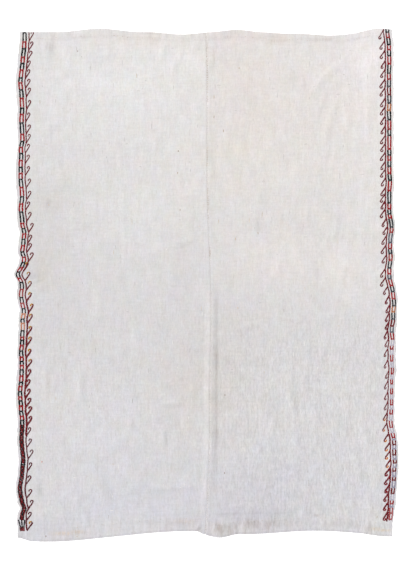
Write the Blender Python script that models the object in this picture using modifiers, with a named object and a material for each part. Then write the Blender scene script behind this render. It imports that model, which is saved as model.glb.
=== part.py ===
"""A kilim rug laid flat: two loom widths of ivory cloth, sewn side by side down the middle.

Units are metres and +Z is up. The rug lies on the plane z = 0 with its long sides along Y, and the
origin is under the middle of its outline. Each panel is one thin sheet. Its underside is flat on the
plane except where a ridge or pucker lifts it, and its two ends are thicker where they are hemmed.
"""

import math
from collections import namedtuple

import bmesh
import bpy

COLLECTION_NAME = "kilim_rug"

# Straight lines that the wavy edges wander about
LEFT_EDGE_X = -0.879
SEAM_X = 0.005
RIGHT_EDGE_X = 0.872
TOP_EDGE_Y = 1.180
BOTTOM_EDGE_Y = -1.162

# The cloth, and the gap that keeps the two panels apart at the seam
CLOTH_THICKNESS = 0.0020
HEM_THICKNESS = 0.0030
TOP_HEM_WIDTH = 0.034
BOTTOM_HEM_WIDTH = 0.066
HEM_STEP = 0.005
SEAM_GAP = 0.0003

# How closely the sheet is divided
COLUMNS = 40
COLUMN_CROWDING = 0.55
ROW_STEP = 0.020
FINE_ROW_STEP = 0.010
FINE_ROWS_FROM_Y = -0.030
FINE_ROWS_TO_Y = 0.130

# One slow swing of an edge: where its middle lies along the edge, how far it
# reaches each way from there, and how far it pushes the edge
Wave = namedtuple("Wave", "at reach push")

# Along the long sides, at is y and a positive push is away from the rug
LEFT_WAVES = (
    Wave(at=1.165, reach=0.105, push=-0.011),
    Wave(at=0.945, reach=0.105, push=0.009),
    Wave(at=0.765, reach=0.060, push=0.003),
    Wave(at=0.664, reach=0.040, push=-0.003),
    Wave(at=0.530, reach=0.130, push=0.009),
    Wave(at=0.345, reach=0.080, push=0.004),
    Wave(at=0.240, reach=0.050, push=-0.010),
    Wave(at=0.120, reach=0.040, push=-0.009),
    Wave(at=0.050, reach=0.045, push=0.015),
    Wave(at=-0.045, reach=0.040, push=0.005),
    Wave(at=-0.125, reach=0.050, push=-0.009),
    Wave(at=-0.195, reach=0.055, push=-0.005),
    Wave(at=-0.315, reach=0.035, push=0.003),
    Wave(at=-0.500, reach=0.125, push=0.009),
    Wave(at=-0.715, reach=0.060, push=0.003),
    Wave(at=-0.815, reach=0.060, push=-0.005),
    Wave(at=-0.945, reach=0.080, push=0.007),
    Wave(at=-1.042, reach=0.030, push=-0.010),
    Wave(at=-1.100, reach=0.030, push=0.003),
)
RIGHT_WAVES = (
    Wave(at=1.185, reach=0.065, push=-0.009),
    Wave(at=0.480, reach=0.050, push=0.003),
    Wave(at=0.270, reach=0.075, push=0.008),
    Wave(at=0.130, reach=0.060, push=0.006),
    Wave(at=-0.040, reach=0.090, push=0.016),
    Wave(at=-0.140, reach=0.120, push=0.015),
    Wave(at=-0.330, reach=0.300, push=0.011),
    Wave(at=-0.395, reach=0.045, push=0.004),
    Wave(at=-0.585, reach=0.100, push=0.004),
    Wave(at=-0.740, reach=0.130, push=0.022),
    Wave(at=-0.870, reach=0.130, push=0.022),
    Wave(at=-1.000, reach=0.130, push=0.011),
    Wave(at=-1.150, reach=0.085, push=-0.007),
)

# Along the seam, at is y and a positive push is towards +X
SEAM_WAVES = (
    Wave(at=1.188, reach=0.186, push=-0.006),
    Wave(at=-0.154, reach=0.699, push=0.019),
    Wave(at=-0.722, reach=0.373, push=0.010),
    Wave(at=-1.188, reach=0.186, push=-0.009),
)

# Along the ends, at is x and a positive push is away from the rug
TOP_WAVES = (
    Wave(at=-0.493, reach=0.196, push=0.015),
    Wave(at=-0.110, reach=0.158, push=-0.011),
    Wave(at=0.146, reach=0.121, push=0.010),
    Wave(at=0.379, reach=0.140, push=-0.007),
    Wave(at=0.575, reach=0.205, push=-0.016),
    Wave(at=0.812, reach=0.140, push=0.016),
)
LEFT_BOTTOM_WAVES = (
    Wave(at=-0.740, reach=0.513, push=0.034),
    Wave(at=-0.875, reach=0.065, push=-0.012),
    Wave(at=-0.078, reach=0.326, push=-0.014),
    Wave(at=-0.003, reach=0.033, push=0.012),
)
RIGHT_BOTTOM_WAVES = (
    Wave(at=0.067, reach=0.093, push=0.015),
    Wave(at=0.509, reach=0.326, push=-0.016),
    Wave(at=0.854, reach=0.158, push=0.011),
)

# The ridge that stands along the seam over the lower half
SEAM_RIDGE_Y = -0.457
SEAM_RIDGE_REACH = 0.520
SEAM_RIDGE_HALF_WIDTH = 0.030
SEAM_RIDGE_HEIGHT = 0.006

# One soft fold: its middle, the direction of its crest in degrees from +X, how far it
# reaches along the crest and across it, and how high its underside stands off the floor
Fold = namedtuple("Fold", "x y turn along across height")

# The puckers of the two long sides
SIDE_PUCKERS = (
    Fold(x=-0.862, y=0.056, turn=-14.0, along=0.120, across=0.036, height=0.010),
    Fold(x=-0.880, y=0.006, turn=8.0, along=0.070, across=0.026, height=0.005),
    Fold(x=0.868, y=0.056, turn=8.0, along=0.110, across=0.034, height=0.008),
)
# Slack edges that stand a little off the floor
EDGE_LIFTS = (
    Fold(x=-0.872, y=0.918, turn=90.0, along=0.130, across=0.060, height=0.005),
    Fold(x=-0.880, y=-0.960, turn=90.0, along=0.080, across=0.060, height=0.006),
    Fold(x=0.884, y=-0.080, turn=90.0, along=0.100, across=0.060, height=0.006),
    Fold(x=0.888, y=-0.806, turn=90.0, along=0.170, across=0.070, height=0.008),
    Fold(x=-0.470, y=1.190, turn=0.0, along=0.190, across=0.060, height=0.004),
    Fold(x=0.820, y=1.190, turn=25.0, along=0.110, across=0.060, height=0.005),
    Fold(x=0.060, y=-1.180, turn=100.0, along=0.110, across=0.050, height=0.005),
    Fold(x=-0.730, y=-1.190, turn=0.0, along=0.210, across=0.060, height=0.004),
)
# Soft creases out in the field: a fan at the top right, rumples low on the right, and
# the two level creases above the bottom hem
FIELD_CREASES = (
    Fold(x=0.556, y=1.002, turn=40.0, along=0.130, across=0.040, height=0.004),
    Fold(x=0.523, y=0.839, turn=68.0, along=0.110, across=0.040, height=0.003),
    Fold(x=0.528, y=0.196, turn=52.0, along=0.090, across=0.042, height=0.003),
    Fold(x=0.370, y=-0.550, turn=100.0, along=0.150, across=0.042, height=0.004),
    Fold(x=0.491, y=-0.583, turn=103.0, along=0.140, across=0.042, height=0.003),
    Fold(x=0.281, y=-0.760, turn=90.0, along=0.100, across=0.042, height=0.003),
    Fold(x=0.761, y=-0.746, turn=90.0, along=0.130, across=0.034, height=0.004),
    Fold(x=-0.134, y=-0.932, turn=3.0, along=0.170, across=0.034, height=0.003),
    Fold(x=0.295, y=-0.899, turn=0.0, along=0.140, across=0.034, height=0.003),
)
FOLDS = SIDE_PUCKERS + EDGE_LIFTS + FIELD_CREASES

# Plain finishes
IVORY = (0.76, 0.73, 0.68, 1.0)
CLOTH_ROUGHNESS = 0.95


def soft_bump(distance, reach):
    """One at the middle, falling smoothly to nothing at the reach."""
    if abs(distance) >= reach:
        return 0.0
    return math.cos(0.5 * math.pi * distance / reach) ** 2


def wander(along, waves):
    return sum(wave.push * soft_bump(along - wave.at, wave.reach) for wave in waves)


def left_edge_x(y):
    return LEFT_EDGE_X - wander(y, LEFT_WAVES)


def right_edge_x(y):
    return RIGHT_EDGE_X + wander(y, RIGHT_WAVES)


def seam_x(y):
    return SEAM_X + wander(y, SEAM_WAVES)


def fold_height(fold, x, y):
    """Height of one fold at a point: a long mound along the fold's own direction."""
    turn = math.radians(fold.turn)
    along = (x - fold.x) * math.cos(turn) + (y - fold.y) * math.sin(turn)
    across = (y - fold.y) * math.cos(turn) - (x - fold.x) * math.sin(turn)
    return fold.height * soft_bump(along, fold.along) * soft_bump(across, fold.across)


def lift(x, y):
    """Height of the cloth's underside: the highest of the folds, or the ridge along the seam."""
    ridge = SEAM_RIDGE_HEIGHT * soft_bump(y - SEAM_RIDGE_Y, SEAM_RIDGE_REACH)
    ridge *= soft_bump(x - seam_x(y), SEAM_RIDGE_HALF_WIDTH)
    return max(ridge, max(fold_height(fold, x, y) for fold in FOLDS))


def row_places():
    """Places of the rows from the bottom end (0) to the top end (1), closer at hems and puckers."""
    length = TOP_EDGE_Y - BOTTOM_EDGE_Y
    hem_rows_bottom = [0.0, 0.5 * BOTTOM_HEM_WIDTH, BOTTOM_HEM_WIDTH]
    hem_rows_top = [length - TOP_HEM_WIDTH, length - 0.5 * TOP_HEM_WIDTH, length]
    rows = []
    along = BOTTOM_HEM_WIDTH + HEM_STEP
    while along < length - TOP_HEM_WIDTH - HEM_STEP - 0.5 * ROW_STEP:
        rows.append(along)
        y = BOTTOM_EDGE_Y + along
        along += FINE_ROW_STEP if FINE_ROWS_FROM_Y < y < FINE_ROWS_TO_Y else ROW_STEP
    rows.append(length - TOP_HEM_WIDTH - HEM_STEP)
    return [along / length for along in hem_rows_bottom + rows + hem_rows_top]


def column_places():
    """Places of the columns from the outer edge (0) to the seam (1), closer at both."""
    places = [i / COLUMNS for i in range(COLUMNS + 1)]
    return [place - COLUMN_CROWDING * math.sin(math.tau * place) / math.tau for place in places]


def panel_point(across, along, outer_edge_x, seam_side, bottom_waves):
    """Point of the underside, from how far it lies across and along the panel, each from 0 to 1."""
    level = BOTTOM_EDGE_Y + along * (TOP_EDGE_Y - BOTTOM_EDGE_Y)
    near_x = outer_edge_x(level) * (1.0 - across) + SEAM_X * across
    bottom_y = BOTTOM_EDGE_Y - wander(near_x, bottom_waves)
    top_y = TOP_EDGE_Y + wander(near_x, TOP_WAVES)
    y = bottom_y + along * (top_y - bottom_y)
    inner_x = seam_x(y) + seam_side * 0.5 * SEAM_GAP
    x = outer_edge_x(y) * (1.0 - across) + inner_x * across
    return x, y, lift(x, y)


def cloth_material():
    material = bpy.data.materials.new("ivory_cloth")
    material.use_nodes = True
    material.diffuse_color = IVORY
    shader = material.node_tree.nodes["Principled BSDF"]
    shader.inputs["Base Color"].default_value = IVORY
    shader.inputs["Roughness"].default_value = CLOTH_ROUGHNESS
    shader.inputs["Metallic"].default_value = 0.0
    return material


def build_panel(name, collection, material, outer_edge_x, seam_side, bottom_waves):
    """A grid shaped to the panel's outline and folds, thickened upwards, more so at the hems.

    seam_side is -1 for the panel left of the seam and 1 for the panel right of it.
    """
    columns = column_places()
    rows = row_places()
    sheet = bmesh.new()
    bmesh.ops.create_grid(sheet, x_segments=COLUMNS, y_segments=len(rows) - 1, size=1.0)
    hem_vertices = []
    for vertex in sheet.verts:
        column = round((vertex.co.x + 1.0) * 0.5 * COLUMNS)
        row = round((vertex.co.y + 1.0) * 0.5 * (len(rows) - 1))
        if seam_side > 0:
            column = COLUMNS - column
        vertex.co = panel_point(columns[column], rows[row], outer_edge_x, seam_side, bottom_waves)
        if row <= 2 or row >= len(rows) - 3:
            hem_vertices.append(vertex.index)
    mesh = bpy.data.meshes.new(name)
    sheet.to_mesh(mesh)
    sheet.free()
    mesh.shade_smooth()
    mesh.materials.append(material)
    panel = bpy.data.objects.new(name, mesh)
    collection.objects.link(panel)
    hem = panel.vertex_groups.new(name="hem")
    hem.add(hem_vertices, 1.0, "REPLACE")
    solid = panel.modifiers.new("thickness", "SOLIDIFY")
    solid.thickness = HEM_THICKNESS
    solid.offset = 1.0
    solid.use_even_offset = True
    solid.vertex_group = hem.name
    solid.thickness_vertex_group = CLOTH_THICKNESS / HEM_THICKNESS
    return panel


def main():
    for old in list(bpy.data.objects):
        bpy.data.objects.remove(old, do_unlink=True)
    collection = bpy.data.collections.new(COLLECTION_NAME)
    bpy.context.scene.collection.children.link(collection)
    cloth = cloth_material()
    build_panel("left_panel", collection, cloth, left_edge_x, -1, LEFT_BOTTOM_WAVES)
    build_panel("right_panel", collection, cloth, right_edge_x, 1, RIGHT_BOTTOM_WAVES)


main()
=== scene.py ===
"""Looks of the kilim rug: two sewn widths of ivory cloth with a wrapped ladder and hook border.

Units are metres and +Z is up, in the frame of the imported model. Only the rows of the tables are in
millimetres, degrees and percent. The outline and the folds follow the same named waves as the solids.
The cloth is a closed thin sheet for each width, and all yarn that is wrapped, sewn or spun into it is
made of small rounded stitches.
"""

import math
from collections import namedtuple

import bpy
import numpy as np
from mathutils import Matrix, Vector


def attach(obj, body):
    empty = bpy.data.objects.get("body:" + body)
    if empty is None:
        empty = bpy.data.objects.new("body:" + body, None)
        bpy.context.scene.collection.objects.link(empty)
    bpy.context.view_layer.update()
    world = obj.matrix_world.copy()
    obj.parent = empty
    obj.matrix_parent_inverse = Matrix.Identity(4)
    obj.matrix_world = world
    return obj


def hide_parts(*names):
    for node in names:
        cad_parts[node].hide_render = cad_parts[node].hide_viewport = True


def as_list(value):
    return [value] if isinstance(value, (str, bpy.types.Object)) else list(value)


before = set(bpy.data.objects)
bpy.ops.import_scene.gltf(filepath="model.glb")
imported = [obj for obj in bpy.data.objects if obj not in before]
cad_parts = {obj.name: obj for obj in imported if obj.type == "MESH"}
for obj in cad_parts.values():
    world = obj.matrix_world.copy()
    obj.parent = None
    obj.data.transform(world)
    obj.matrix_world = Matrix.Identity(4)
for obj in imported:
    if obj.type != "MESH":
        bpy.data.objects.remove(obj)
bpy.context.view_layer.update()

SEED = 20

# Columns that the tables give in millimetres and in percent, which keeps their rows short
IN_MILLIMETRES = "x y at reach push along across inward height inset half_width end stroke length width"
IN_PERCENT = "tone red green blue"
UNITS = dict.fromkeys(IN_MILLIMETRES.split(), 1000.0) | dict.fromkeys(IN_PERCENT.split(), 100.0)


def table(kind, *rows):
    """A list of the kind from rows of plain values, which stand in the order of its columns."""
    made = []
    for row in rows:
        cells = zip(kind._fields, row)
        made.append(kind(*(cell / UNITS[column] if column in UNITS else cell for column, cell in cells)))
    return made


# Straight lines that the wavy edges wander about
LEFT_EDGE_X = -0.879
SEAM_X = 0.005
RIGHT_EDGE_X = 0.872
TOP_EDGE_Y = 1.180
BOTTOM_EDGE_Y = -1.162

# The cloth
CLOTH_THICKNESS = 0.0020
HEM_THICKNESS = 0.0030
TOP_HEM_WIDTH = 0.034
BOTTOM_HEM_WIDTH = 0.066
HEM_STEP = 0.004
SEAM_GAP = 0.0003
LIP_RADIUS = 0.0012
SEAM_LIP_RADIUS = 0.0006
# The y at which each width is measured, for dividing it
WIDTH_AT_Y = 0.3

# One slow swing of an edge: where its middle lies along the edge, how far it
# reaches each way from there, and how far it pushes the edge
Wave = namedtuple("Wave", "at reach push")

# Thicker and thinner yarn: at is the distance in from the outer rim, or from the seam
OUTER_SWELLS = table(Wave, (4, 4, 0.6))
SEAM_SWELLS = table(Wave, (9, 5, 0.36), (0, 4.5, -0.5))

# Along the long sides, at is y and a positive push is away from the rug
LEFT_WAVES = table(
    Wave,
    (1165, 105, -11), (945, 105, 9), (765, 60, 3), (664, 40, -3), (530, 130, 9), (345, 80, 4),
    (240, 50, -10), (120, 40, -9), (50, 45, 15), (-45, 40, 5), (-125, 50, -9), (-195, 55, -5),
    (-315, 35, 3), (-500, 125, 9), (-715, 60, 3), (-815, 60, -5), (-945, 80, 7), (-1042, 30, -10),
    (-1100, 30, 3),
)
RIGHT_WAVES = table(
    Wave,
    (1185, 65, -9), (480, 50, 3), (270, 75, 8), (130, 60, 6), (-40, 90, 16), (-140, 120, 15),
    (-330, 300, 11), (-395, 45, 4), (-585, 100, 4), (-740, 130, 22), (-870, 130, 22),
    (-1000, 130, 11), (-1150, 85, -7),
)

# Along the seam, at is y and a positive push is towards +X
SEAM_WAVES = table(Wave, (1188, 186, -6), (-154, 699, 19), (-722, 373, 10), (-1188, 186, -9))

# Along the ends, at is x and a positive push is away from the rug
TOP_WAVES = table(
    Wave,
    (-493, 196, 15), (-110, 158, -11), (146, 121, 10), (379, 140, -7), (575, 205, -16),
    (812, 140, 16),
)
LEFT_BOTTOM_WAVES = table(Wave, (-740, 513, 34), (-875, 65, -12), (-78, 326, -14), (-3, 33, 12))
RIGHT_BOTTOM_WAVES = table(Wave, (67, 93, 15), (509, 326, -16), (854, 158, 11))

# The ridge that stands along the seam over the lower half: it rises slowly on its left,
# stays up past the seam and ends in a crease on its right. Its height swells and sinks
# along it: at is y and a push is a height
RIDGE_SWELLS = table(
    Wave,
    (-120, 170, 2.6), (-300, 190, 3.2), (-365, 80, 1.1), (-500, 200, 3), (-700, 200, 3.4),
    (-715, 70, 1.1), (-880, 170, 2.6),
)
SEAM_RIDGE_LEFT = 0.036
SEAM_RIDGE_RIGHT = 0.031

# One soft fold: its middle, the direction of its crest in degrees from +X, how far it
# reaches along the crest and across it, how high its underside stands off the floor, and
# its reach on the right of the crest as a share of the one on the left
Fold = namedtuple("Fold", "x y turn along across height steep", defaults=(1.0,))

SIDE_PUCKERS = table(
    Fold,
    (-862, 56, -14, 120, 36, 10),
    (-880, 6, 8, 70, 26, 5),
    (868, 56, 8, 110, 34, 8),
)
EDGE_LIFTS = table(
    Fold,
    (-872, 918, 90, 130, 60, 5),
    (-880, -960, 90, 80, 60, 6),
    (884, -80, 90, 100, 60, 6),
    (888, -806, 90, 170, 70, 8),
    (-470, 1190, 0, 190, 60, 4),
    (820, 1190, 25, 110, 60, 5),
    (60, -1180, 100, 110, 50, 5),
    (-730, -1190, 0, 210, 60, 4),
)
FIELD_CREASES = table(
    Fold,
    (540, 958, 48, 90, 22, 2, 1.5),
    (604, 1018, 40, 90, 22, 2, 1.5),
    (537, 840, 71, 110, 18, 1.5),
    (562, 212, 72, 80, 22, 1.2),
    (400, -505, 95, 170, 48, 2.7, 0.55),
    (514, -612, 108, 80, 32, 2.2, 0.55),
    (307, -680, 75, 90, 36, 1.8, 0.65),
    (742, -700, 100, 100, 28, 2.3, 0.75),
    (-140, -942, 2, 170, 26, 3.4, 0.8),
    (280, -892, 1, 170, 22, 2, 0.7),
)
BROAD_FOLDS = SIDE_PUCKERS + EDGE_LIFTS + FIELD_CREASES

# Finer creases, which add to the folds above
FINE_CREASES = table(
    Fold,
    # Fan from the top right corner
    (575, 750, 76, 110, 34, 1.9, 0.8),
    (604, 842, 72, 65, 24, 1.1),
    (664, 768, 86, 60, 34, 1.7, 0.6),
    (650, 860, 70, 60, 26, 0.9),
    (752, 770, 92, 110, 18, 1.1),
    (690, 1060, 55, 80, 26, 1),
    (440, 930, 74, 60, 22, 1, 0.7),
    (528, 555, 77, 110, 16, 0.8),
    (558, 600, 76, 120, 16, 0.9),
    (590, 560, 76, 120, 16, 0.8),
    (616, 480, 76, 110, 18, 0.8),
    (472, 515, 88, 50, 18, 1.1, 0.8),
    (475, 345, 88, 65, 22, 1.6, 0.7),
    (228, 275, 90, 65, 24, 1.1, 0.8),
    (247, 410, 95, 50, 18, 0.9),
    (193, 970, 90, 65, 26, 1.3, 0.7),
    (605, 262, 74, 75, 22, 1.2),
    (735, 240, 75, 65, 28, 1.1),
    (640, 60, 72, 100, 24, 1.2),
    (335, 80, 78, 90, 24, 1),
    # Lower half of the right width
    (420, -715, 96, 130, 40, 2.1, 0.6),
    (290, -805, 92, 80, 36, 1.2, 1.3),
    (460, -450, 93, 70, 36, 1.3, 0.6),
    (524, -745, 103, 90, 32, 1.4, 0.6),
    (748, -500, 96, 130, 32, 1.4),
    (648, -675, 88, 80, 32, 1.7, 0.8),
    (795, -920, 97, 90, 46, 2, 0.6),
    (712, -852, 112, 65, 30, 1.8, 0.7),
    (685, -808, 4, 60, 16, 1.6, 0.8),
    (766, -1032, 113, 90, 26, 2, 0.7),
    (418, -940, 92, 85, 28, 1.2, 0.7),
    (474, -945, 91, 70, 26, 1.2, 0.7),
    (563, -965, 94, 75, 28, 1.4, 0.7),
    (338, -950, 91, 60, 26, 1.2, 0.7),
    (186, -950, 90, 70, 24, 0.8, 0.8),
    (464, -1050, 88, 55, 34, 1.8, 1.3),
    (230, -182, 14, 130, 24, 1.8),
    (385, -158, -3, 90, 22, 2.4, 0.8),
    (620, -148, -5, 190, 26, 1.6),
    (262, -260, 86, 55, 28, 0.9),
    # Left width, upper half
    (-742, 1100, 88, 75, 30, 1.6, 1.3),
    (-640, 1090, 90, 95, 40, 1.8, 1.5),
    (-202, 1085, 78, 70, 28, 2.1, 0.7),
    (-150, 1012, 72, 60, 26, 1.6, 1.2),
    (-122, 1068, 78, 45, 22, 1.3, 0.8),
    (-52, 1105, 50, 55, 24, 2, 1.2),
    (-455, 1090, 90, 60, 22, 1.1, 0.8),
    (-730, 735, 92, 75, 20, 1.3, 0.8),
    (-634, 770, 91, 55, 20, 0.8),
    (-564, 770, 91, 55, 20, 0.8),
    (-688, 565, 90, 55, 20, 1),
    (-398, 588, 91, 80, 16, 1.2),
    (-388, 400, 90, 110, 18, 0.9),
    (-382, 190, 91, 160, 18, 0.9),
    (-515, 330, 90, 170, 18, 0.9),
    (-95, 202, 9, 70, 18, 3, 0.8),
    # Left width, lower half
    (-585, -480, 88, 130, 34, 2, 0.8),
    (-748, -450, 90, 100, 32, 1.6, 0.6),
    (-160, -552, 2, 85, 22, 2.8, 0.8),
    (-352, -650, 88, 50, 24, 1.8, 0.7),
    (-335, -750, 72, 90, 34, 1.4, 1.3),
    (-198, -712, 90, 72, 32, 2.7, 0.6),
    (-150, -750, 80, 60, 26, 1.1, 1.3),
    (-592, -1005, 90, 50, 26, 1.8, 0.7),
    (-556, -1088, 97, 60, 26, 2.7, 0.7),
    (-500, -930, 106, 170, 42, 2.2),
    (-355, -955, 36, 80, 30, 2),
    (-170, -1068, 1, 140, 16, 1.7),
    (-170, -1100, 1, 120, 15, 1.3),
    (-402, -1105, 92, 42, 20, 1.6, 0.8),
    (-275, -1030, 90, 50, 18, 1),
    # Puckers of the lower hems
    (40, -1118, 90, 44, 12, 2),
    (78, -1120, 90, 44, 12, 2.2),
    (108, -1122, 88, 40, 11, 1.7),
    (134, -1120, 90, 36, 10, 1.2),
    (172, -1118, 90, 34, 11, 1.2),
    (222, -1112, 90, 36, 12, 1.3),
    (262, -1112, 92, 34, 11, 1.2),
    (306, -1110, 92, 34, 12, 1.2),
    (418, -1105, 90, 34, 12, 1.1),
    (544, -1108, 90, 34, 12, 1.1),
    (656, -1098, 88, 46, 20, 1.4, 0.8),
    (750, -1120, 78, 46, 20, 2, 0.8),
    (-40, -1130, 60, 40, 14, 1.6),
    # Beside the puckers of the long sides
    (-790, 118, -24, 60, 14, 1.4),
    (-790, 20, 18, 55, 14, 1.2),
    (800, 84, 22, 60, 14, 1.2),
    (792, 12, -16, 60, 14, 1.1),
)

# Shallow cockling of the whole cloth
COCKLE_HEIGHT = 0.00045
COCKLE_LENGTH = (0.060, 0.120)
COCKLE_COUNT = 18
EDGE_FRAY = 0.0007
EDGE_FRAY_LENGTH = 0.016
EDGE_FRAY_COUNT = 9

# The loops of weft at the long sides stand out a little past the line that the yarn is
# wrapped along. Where the wrapping is tight they are drawn in: a positive push is outwards
LEFT_LOOPS = 0.0022
RIGHT_LOOPS = 0.0014
LEFT_DRAWN = table(
    Wave,
    (1088, 40, -2.2), (864, 50, 3.2), (440, 60, 3), (193, 35, -3.8), (-86, 40, -2.5),
    (-422, 40, 2.6), (-570, 70, 2.6),
)
RIGHT_DRAWN = table(
    Wave,
    (976, 50, -3.4), (840, 60, -1.8), (585, 35, -3), (390, 50, -1.6), (-30, 35, -2.2),
    (-170, 70, -2.6), (-350, 60, -0.8), (-720, 55, -2.6), (-810, 60, -1.2), (-900, 60, -2.8),
    (-1065, 65, -4.2),
)

# How closely the sheets are divided
LIP_STEPS = (0.0, 0.0002, 0.0006, 0.0012, 0.0026, 0.0046)
FINE_STEP = 0.0046
COLUMN_STEP = 0.0066
ROW_STEP = 0.0082
PUCKER_STEP = 0.0045
BORDER_ZONE = 0.060
SEAM_ZONE = 0.038
PUCKER_ZONE = (-0.030, 0.115)


def soft_bump(distance, reach):
    """One at the middle, falling smoothly to nothing at the reach."""
    share = np.clip(np.abs(distance) / reach, 0.0, 1.0)
    return np.cos(0.5 * np.pi * share) ** 2


def smooth_share(value, low, high):
    """Nothing at low, one at high and smooth between."""
    share = np.clip((value - low) / (high - low), 0.0, 1.0)
    return share * share * (3.0 - 2.0 * share)


def wander(along, waves):
    return sum(wave.push * soft_bump(along - wave.at, wave.reach) for wave in waves)


def left_edge_x(y):
    return LEFT_EDGE_X - wander(y, LEFT_WAVES)


def right_edge_x(y):
    return RIGHT_EDGE_X + wander(y, RIGHT_WAVES)


def seam_x(y):
    return SEAM_X + wander(y, SEAM_WAVES)


def top_edge_y(x):
    return TOP_EDGE_Y + wander(x, TOP_WAVES)


def bottom_edge_y(x):
    left = wander(x, LEFT_BOTTOM_WAVES)
    right = wander(x, RIGHT_BOTTOM_WAVES)
    return BOTTOM_EDGE_Y - np.where(x < SEAM_X, left, right)


def along_and_across(item, x, y):
    """Distances from an item's middle in its own turned directions. Across is positive on its left."""
    turn = math.radians(item.turn)
    along = (x - item.x) * math.cos(turn) + (y - item.y) * math.sin(turn)
    across = (y - item.y) * math.cos(turn) - (x - item.x) * math.sin(turn)
    return along, across


def fold_height(fold, x, y):
    """Height of one fold at a point: a long mound along the fold's own direction."""
    along, across = along_and_across(fold, x, y)
    reach = np.where(across > 0.0, fold.across, fold.across * fold.steep)
    return fold.height * soft_bump(along, fold.along) * soft_bump(across, reach)


def ripple(places, lengths, count, rng):
    """Smooth uneven noise about zero at the given places: a sum of waves in random directions.

    lengths are the shortest and longest wave. places has one row for each point.
    """
    total = np.zeros(len(places))
    for _ in range(count):
        length = rng.uniform(*lengths)
        angle = rng.uniform(0.0, math.tau)
        phase = rng.uniform(0.0, math.tau)
        direction = np.array((math.cos(angle), math.sin(angle)))[: places.shape[1]]
        total += np.sin(places @ direction * math.tau / length + phase)
    return total / math.sqrt(0.5 * count)


def seam_ridge(x, y):
    distance = x - seam_x(y)
    left = soft_bump(distance, SEAM_RIDGE_LEFT)
    right = 1.0 - np.clip(distance / SEAM_RIDGE_RIGHT, 0.0, 1.0) ** 2
    shape = np.where(distance < 0.0, left, right)
    return wander(y, RIDGE_SWELLS) * shape


def lift(x, y):
    """Height of the cloth's underside: the ridge or the highest fold, with creases and cockling on it."""
    x, y = np.broadcast_arrays(np.asarray(x, float), np.asarray(y, float))
    height = seam_ridge(x, y)
    for fold in BROAD_FOLDS:
        height = np.maximum(height, fold_height(fold, x, y))
    for crease in FINE_CREASES:
        height = height + fold_height(crease, x, y)
    places = np.column_stack((x.ravel(), y.ravel()))
    cockle = ripple(places, COCKLE_LENGTH, COCKLE_COUNT, np.random.default_rng(SEED)).reshape(x.shape)
    return height + COCKLE_HEIGHT * np.clip(0.5 + 0.5 * cockle, 0.0, None)


def hem_share(x, y):
    """One on the turned hems, nothing on the single cloth, with a short step between."""
    top = smooth_share(top_edge_y(x) - y, TOP_HEM_WIDTH + HEM_STEP, TOP_HEM_WIDTH)
    bottom = smooth_share(y - bottom_edge_y(x), BOTTOM_HEM_WIDTH + HEM_STEP, BOTTOM_HEM_WIDTH)
    return np.maximum(top, bottom)


def thickness(x, y):
    return CLOTH_THICKNESS + (HEM_THICKNESS - CLOTH_THICKNESS) * hem_share(x, y)


# Division of the sheets

def stepped(start, end, step):
    """Even places from start up to but without end, no further apart than step."""
    count = max(1, math.ceil((end - start) / step))
    return [start + (end - start) * i / count for i in range(count)]


def divided(length, zones, step):
    """Places from 0 to length: rounded lips at both ends, and each zone (start, end, step) finer."""
    lip = LIP_STEPS[-1]
    places = list(LIP_STEPS[:-1])
    at = lip
    for start, end, fine in sorted(zones):
        if start > at:
            places += stepped(at, start, step)
            at = start
        places += stepped(at, end, fine)
        at = end
    if at < length - lip:
        places += stepped(at, length - lip, step)
    places += [length - place for place in reversed(LIP_STEPS)]
    return np.array(places)


def column_distances(width):
    zones = [
        (LIP_STEPS[-1], BORDER_ZONE, FINE_STEP),
        (width - SEAM_ZONE, width - LIP_STEPS[-1], FINE_STEP),
    ]
    return divided(width, zones, COLUMN_STEP)


def row_distances():
    length = TOP_EDGE_Y - BOTTOM_EDGE_Y
    hem_bottom = BOTTOM_HEM_WIDTH + 2.0 * HEM_STEP
    hem_top = TOP_HEM_WIDTH + 2.0 * HEM_STEP
    zones = [
        (LIP_STEPS[-1], hem_bottom, FINE_STEP),
        (PUCKER_ZONE[0] - BOTTOM_EDGE_Y, PUCKER_ZONE[1] - BOTTOM_EDGE_Y, PUCKER_STEP),
        (length - hem_top, length - LIP_STEPS[-1], FINE_STEP),
    ]
    return divided(length, zones, ROW_STEP)


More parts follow.
